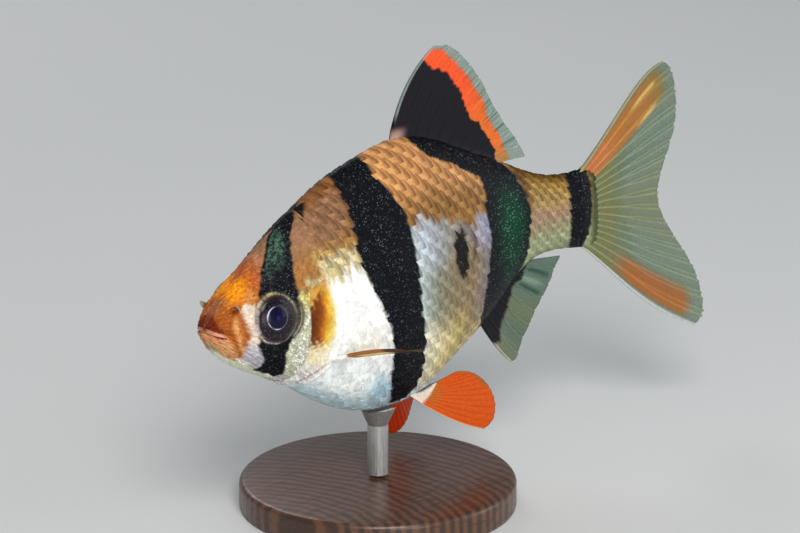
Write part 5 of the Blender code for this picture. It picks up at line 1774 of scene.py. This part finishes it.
def lid_rows(side, turn, inside, opening, stroke, border):
    """Rows of a lid's points in the eye's frame, their reach, and their stations and angles."""
    surface, source = skin_round_eye(side, inside)
    rows, reaches, places = [], [], []
    for share in np.linspace(0, 1, LID_ROWS):
        wide = opening + (border - opening) * share
        x = wide * np.cos(turn) + side * LID_FORWARD * (1 - share)
        y = wide * np.sin(turn) + LID_UP * (1 - share)
        from_axis = np.hypot(x, y)
        far = np.maximum(from_axis, 0.0475) / from_axis
        gap = (surface[None, :, 0] - (far * x)[:, None]) ** 2
        gap = gap + (surface[None, :, 1] - (far * y)[:, None]) ** 2
        near = np.argsort(gap, axis=1)[:, :6]
        weight = 1 / (np.take_along_axis(gap, near, axis=1) + 1e-7)
        weight /= weight.sum(axis=1, keepdims=True)
        skin_high = (surface[near, 2] * weight).sum(axis=1)
        ball_high = ball_height(from_axis) + LID_OVER_BALL - 1.1 * np.maximum(0, from_axis - 0.0440)
        high = LID_SOFT * np.log(np.exp(skin_high / LID_SOFT) + np.exp(ball_high / LID_SOFT))
        rise = 0.0008 * bump(wide - stroke, 0.0020) - 0.0016 * fade(0.0, 0.10, share)
        rise = rise + 0.0003 - 0.0011 * ease(0.55, 1.0, share)
        rows.append(np.stack([x, y, high + rise], axis=-1))
        reaches.append(wide)
        places.append((source[near] * weight[..., None]).sum(axis=1))
    rows = [rows[0] - [0, 0, LID_SKIRT]] + rows + [rows[-1] - [0, 0, LID_SKIRT]]
    reach = np.array([reaches[0]] + reaches + [reaches[-1]])
    places = np.array([places[0]] + places + [places[-1]])
    return np.stack(rows), reach, places


def lid_fields(side, around, reach, stroke, places, spots):
    """Fields of a lid: the head's markings, darker round the eye with painted shade, and the broken
    silver stroke, partly a painted highlight.
    """
    fields = markings(places[..., 0], places[..., 1])
    outside = reach - stroke
    inner = fade(0.0, 0.0060, outside)
    outer = ease(0.0008, 0.0030, outside) * fade(0.0066, 0.0120, outside)
    outer = outer * (0.10 + 0.90 * ease(50, 90, np.abs(around - 10))) * (0.25 if side > 0 else 1.0)
    wide = 0.0017 + 0.0010 * bump(around - 10, 60)
    share = np.exp(-(outside / wide) ** 2) * np.clip(stroke_highlight(around) * spots, 0, 1)[None, :]
    fields["paint"] = mix(fields["paint"], LID_DARK, 0.9 * inner)
    fields["paint"] = mix(fields["paint"], LID_SHADE, 0.85 * outer)
    fields["paint"] = mix(fields["paint"], ramp(around, STROKE_LIGHT_AND_SHADE_HUES)[None] + 0 * share[..., None],
                          share)
    for key in ("band", "mosaic", "fleck"):
        fields[key] = fields[key] * (1 - inner)
    fields["pearl"] = np.maximum(fields["pearl"], share)
    fields["flow"] = flow(places[..., 0], places[..., 1])
    return fields


def make_eye_ring(side, finish):
    """Lid of skin round an eye, with a broken silver stroke along its opening, partly a painted
    highlight.
    """
    turn = np.linspace(0, 2 * math.pi, EYE_AROUND, endpoint=False)
    around = front_angle(turn, side)
    frame_of = np.array(eye_matrix(side))
    draw = np.random.default_rng(LID_SEED)
    uneven = np.interp(turn, np.linspace(0, 2 * math.pi, 41), np.append(draw.uniform(-1, 1, 40), 0))
    spots = np.interp(turn, np.linspace(0, 2 * math.pi, 111), draw.uniform(-1, 1, 111))
    opening = oval_radius(LID_OPEN, around) + 0.0005 * uneven
    stroke = oval_radius(LID_STROKE, around) + 0.0006 * uneven
    rows, reach, places = lid_rows(side, turn, np.linalg.inv(frame_of), opening, stroke,
                                   lid_outer(around))
    points = (rows * STANDARD_LENGTH) @ frame_of[:3, :3].T + frame_of[:3, 3]
    faces = grid_faces(len(rows), EYE_AROUND, wrap=True)
    ring = np.arange(EYE_AROUND)
    after = np.roll(ring, -1)
    last = (len(rows) - 1) * EYE_AROUND
    closing = np.stack([last + ring, last + after, after, ring], axis=1)
    fields = lid_fields(side, around, reach, stroke, places, 0.62 + 0.50 * spots)
    flat = {key: values.reshape(-1, *values.shape[2:]) for key, values in fields.items()}
    made = mesh_piece(f"eye_{side_word(side)}_lid", points.reshape(-1, 3),
                      list(faces[:, ::-1]) + list(closing[:, ::-1]), finish, flat)
    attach(made, "root")


def make_nostril_flaps(finish):
    """Thin curved flap of skin behind each nostril."""
    around, rings = 28, 18
    polar = np.linspace(0, math.pi, rings)[1:-1]
    turn = np.linspace(0, 2 * math.pi, around, endpoint=False)
    x = np.sin(polar)[:, None] * np.cos(turn)
    y = np.sin(polar)[:, None] * np.sin(turn)
    z = np.cos(polar)[:, None] + 0 * turn
    ball = np.concatenate([np.stack([x, y, z], axis=-1).reshape(-1, 3), [[0, 0, 1], [0, 0, -1]]])
    local = ball * np.array(FLAP_SIZE)
    local[:, 0] += 0.0030 * (local[:, 1]
                             / FLAP_SIZE[1]) ** 2 + 0.0012 * np.clip(local[:, 2] / FLAP_SIZE[2], 0,
                                                                     1)
    pieces = []
    for side in (-1, 1):
        angle = side * math.radians(NOSTRIL_ANGLE)
        station = FLAP_STATION - (FLAP_FAR_FORWARD if side > 0 else 0.0)
        centre = place(skin_point(station, angle))
        up = place(skin_point(station, angle, 0.01)) - centre
        up /= np.linalg.norm(up)
        forward = place(skin_point(station - 0.01, angle)) - centre
        across = np.cross(up, forward)
        across /= np.linalg.norm(across)
        basis = np.stack([np.cross(across, up), across, up], axis=1)
        size = STANDARD_LENGTH * (FLAP_FAR_SIZE if side > 0 else 1.0)
        pieces.append(centre + (local * size) @ basis.T)
    count = len(local)
    flat = ball_faces(len(polar), around)
    high = np.clip(np.tile(local[:, 2], 2) / FLAP_SIZE[2], 0, 1)
    colour = mix(tone(166, 112, 70) + 0 * high[:, None], tone(180, 180, 168),
                 ease(0.15, 0.55, high))
    none = np.zeros(2 * count)
    fields = {key: none for key in ("band", "green", "crown", "pearl", "fleck", "mosaic")}
    fields.update(paint=colour, flow=np.zeros((2 * count, 3)))
    made = mesh_piece("nostril_flaps", np.concatenate(pieces),
                      flat + [face + count for face in flat], finish,
                      fields)
    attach(made, "root")


# Stand
def turned_piece(name, profile, finish, around):
    """Closed turned piece from (radius, height) pairs, bottom to top."""
    turn = np.linspace(0, 2 * math.pi, around, endpoint=False)
    rings = [(r, h) for r, h in profile if r > 0]
    points = [(r * math.cos(a), r * math.sin(a), h) for r, h in rings for a in turn]
    count = len(points)
    points += [(0, 0, profile[0][1]), (0, 0, profile[-1][1])]
    faces = grid_faces(len(rings), around, wrap=True)
    ring = np.arange(around)
    caps = np.concatenate([fan(count, ring, flip=True), fan(count + 1, count - around + ring)])
    return mesh_piece(name, points, list(faces) + list(caps), finish)


def make_stand(wood, steel):
    """Turned wooden base and steel rod with its cup, as large as their solids."""
    corner = [(BASE_RADIUS - BASE_ROUND * (1 - math.cos(a)),
               BASE_HEIGHT - BASE_ROUND * (1 - math.sin(a)))
              for a in np.linspace(0, 0.5 * math.pi, 7)]
    foot = [(BASE_RADIUS - FOOT_ROUND * (1 - math.cos(a)), FOOT_ROUND * (1 - math.sin(a)))
            for a in np.linspace(0.5 * math.pi, 0, 5)]
    profile = [(0, 0), (0.4 * BASE_RADIUS, 0)] + foot + corner
    profile += [(0.6 * BASE_RADIUS, BASE_HEIGHT), (ROD_HOLE, BASE_HEIGHT), (0, BASE_HEIGHT)]
    base = turned_piece("stand_base_wood", profile, wood, 192)
    base.data.set_sharp_from_angle(angle=SHARP_ANGLE)
    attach(base, "root")
    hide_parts("stand_base")
    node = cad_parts["stand_rod"]
    node.data.materials.clear()
    node.data.materials.append(steel)


FLOOR_REACH = 3.0


def make_floor(finish):
    """Floor under the stand."""
    points = [(x * FLOOR_REACH, y * FLOOR_REACH, 0) for x,
              y in ((-1, -1), (1, -1), (1, 1), (-1, 1))]
    floor = mesh_piece("floor", points, [[0, 1, 2, 3]], finish, smooth=False)


def area_light(name, at, aim, size, power, colour):
    """Square soft light that looks at a point."""
    data = bpy.data.lights.new(name, "AREA")
    data.size = size
    data.energy = power
    data.color = colour
    made = bpy.data.objects.new(name, data)
    made.location = at
    made.rotation_euler = (Vector(aim) - Vector(at)).to_track_quat("-Z", "Y").to_euler()
    bpy.context.scene.collection.objects.link(made)


CAMERA_AZIMUTH = math.radians(-44.0)
CAMERA_ELEVATION = math.radians(17.0)
CAMERA_DISTANCE = 6.87 * STANDARD_LENGTH
SENSOR_WIDTH = 36.0
CAMERA_LENS = 3698.0 / 800.0 * SENSOR_WIDTH
CLIP_START = 0.01
WORLD_COLOUR = (0.86, 0.90, 0.95, 1.0)
WORLD_STRENGTH = 0.32
# Lights: name, place in metres, size, power and colour
LIGHTS = (("key", (-0.16, -0.24, 0.26), 0.16, 0.98, (1.0, 0.98, 0.95)),
          ("fill", (0.26, -0.22, 0.10), 0.22, 0.30, (0.92, 0.96, 1.0)),
          ("rim", (0.10, 0.26, 0.22), 0.16, 0.20, (1.0, 1.0, 1.0)),
          ("low", (-0.08, -0.26, 0.020), 0.14, 0.24, (0.96, 0.99, 1.0)))


def make_camera_and_light():
    """Camera at the photograph's angle, soft studio light and a pale surround."""
    target = Vector(place([0.5, 0.0, 0.0]))
    back = Vector((math.sin(CAMERA_AZIMUTH) * math.cos(CAMERA_ELEVATION),
                   -math.cos(CAMERA_AZIMUTH) * math.cos(CAMERA_ELEVATION),
                   math.sin(CAMERA_ELEVATION)))
    data = bpy.data.cameras.new("camera")
    data.lens = CAMERA_LENS
    data.sensor_width = SENSOR_WIDTH
    data.clip_start = CLIP_START
    camera = bpy.data.objects.new("camera", data)
    camera.location = target + back * CAMERA_DISTANCE
    camera.rotation_euler = back.to_track_quat("Z", "Y").to_euler()
    bpy.context.scene.collection.objects.link(camera)
    bpy.context.scene.camera = camera
    world = bpy.data.worlds.new("studio")
    world.use_nodes = True
    world.node_tree.nodes["Background"].inputs[0].default_value = WORLD_COLOUR
    world.node_tree.nodes["Background"].inputs[1].default_value = WORLD_STRENGTH
    bpy.context.scene.world = world
    for name, at, size, power, colour in LIGHTS:
        area_light(name, at, target, size, power, colour)
    bpy.context.scene.view_settings.view_transform = "Standard"


def main():
    """Build every piece."""
    skin_finish = body_material("fish_skin", False)
    scale_finish = body_material("fish_scales", True)
    skin = make_skin(skin_finish)
    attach(skin, "root")
    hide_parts("head", "gill_cover_left", "gill_cover_right", "torso", "tail_stalk")
    for side in (-1, 1):
        sites = scale_sites(np.random.default_rng(20 + side))
        ahead = sites[:, 0] < SCALE_SPLIT
        for part, chosen in (("front", ahead), ("rear", ~ahead)):
            piece = make_scales(side, part, scale_finish, sites[chosen])
            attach(piece, "root")
    make_fins(fin_material())
    eye = eye_material()
    for side in (-1, 1):
        make_eye(side, eye)
        make_eye_ring(side, skin_finish)
    make_nostril_flaps(skin_finish)
    make_stand(wood_material(), steel_material())
    make_floor(floor_material())
    make_camera_and_light()


main()
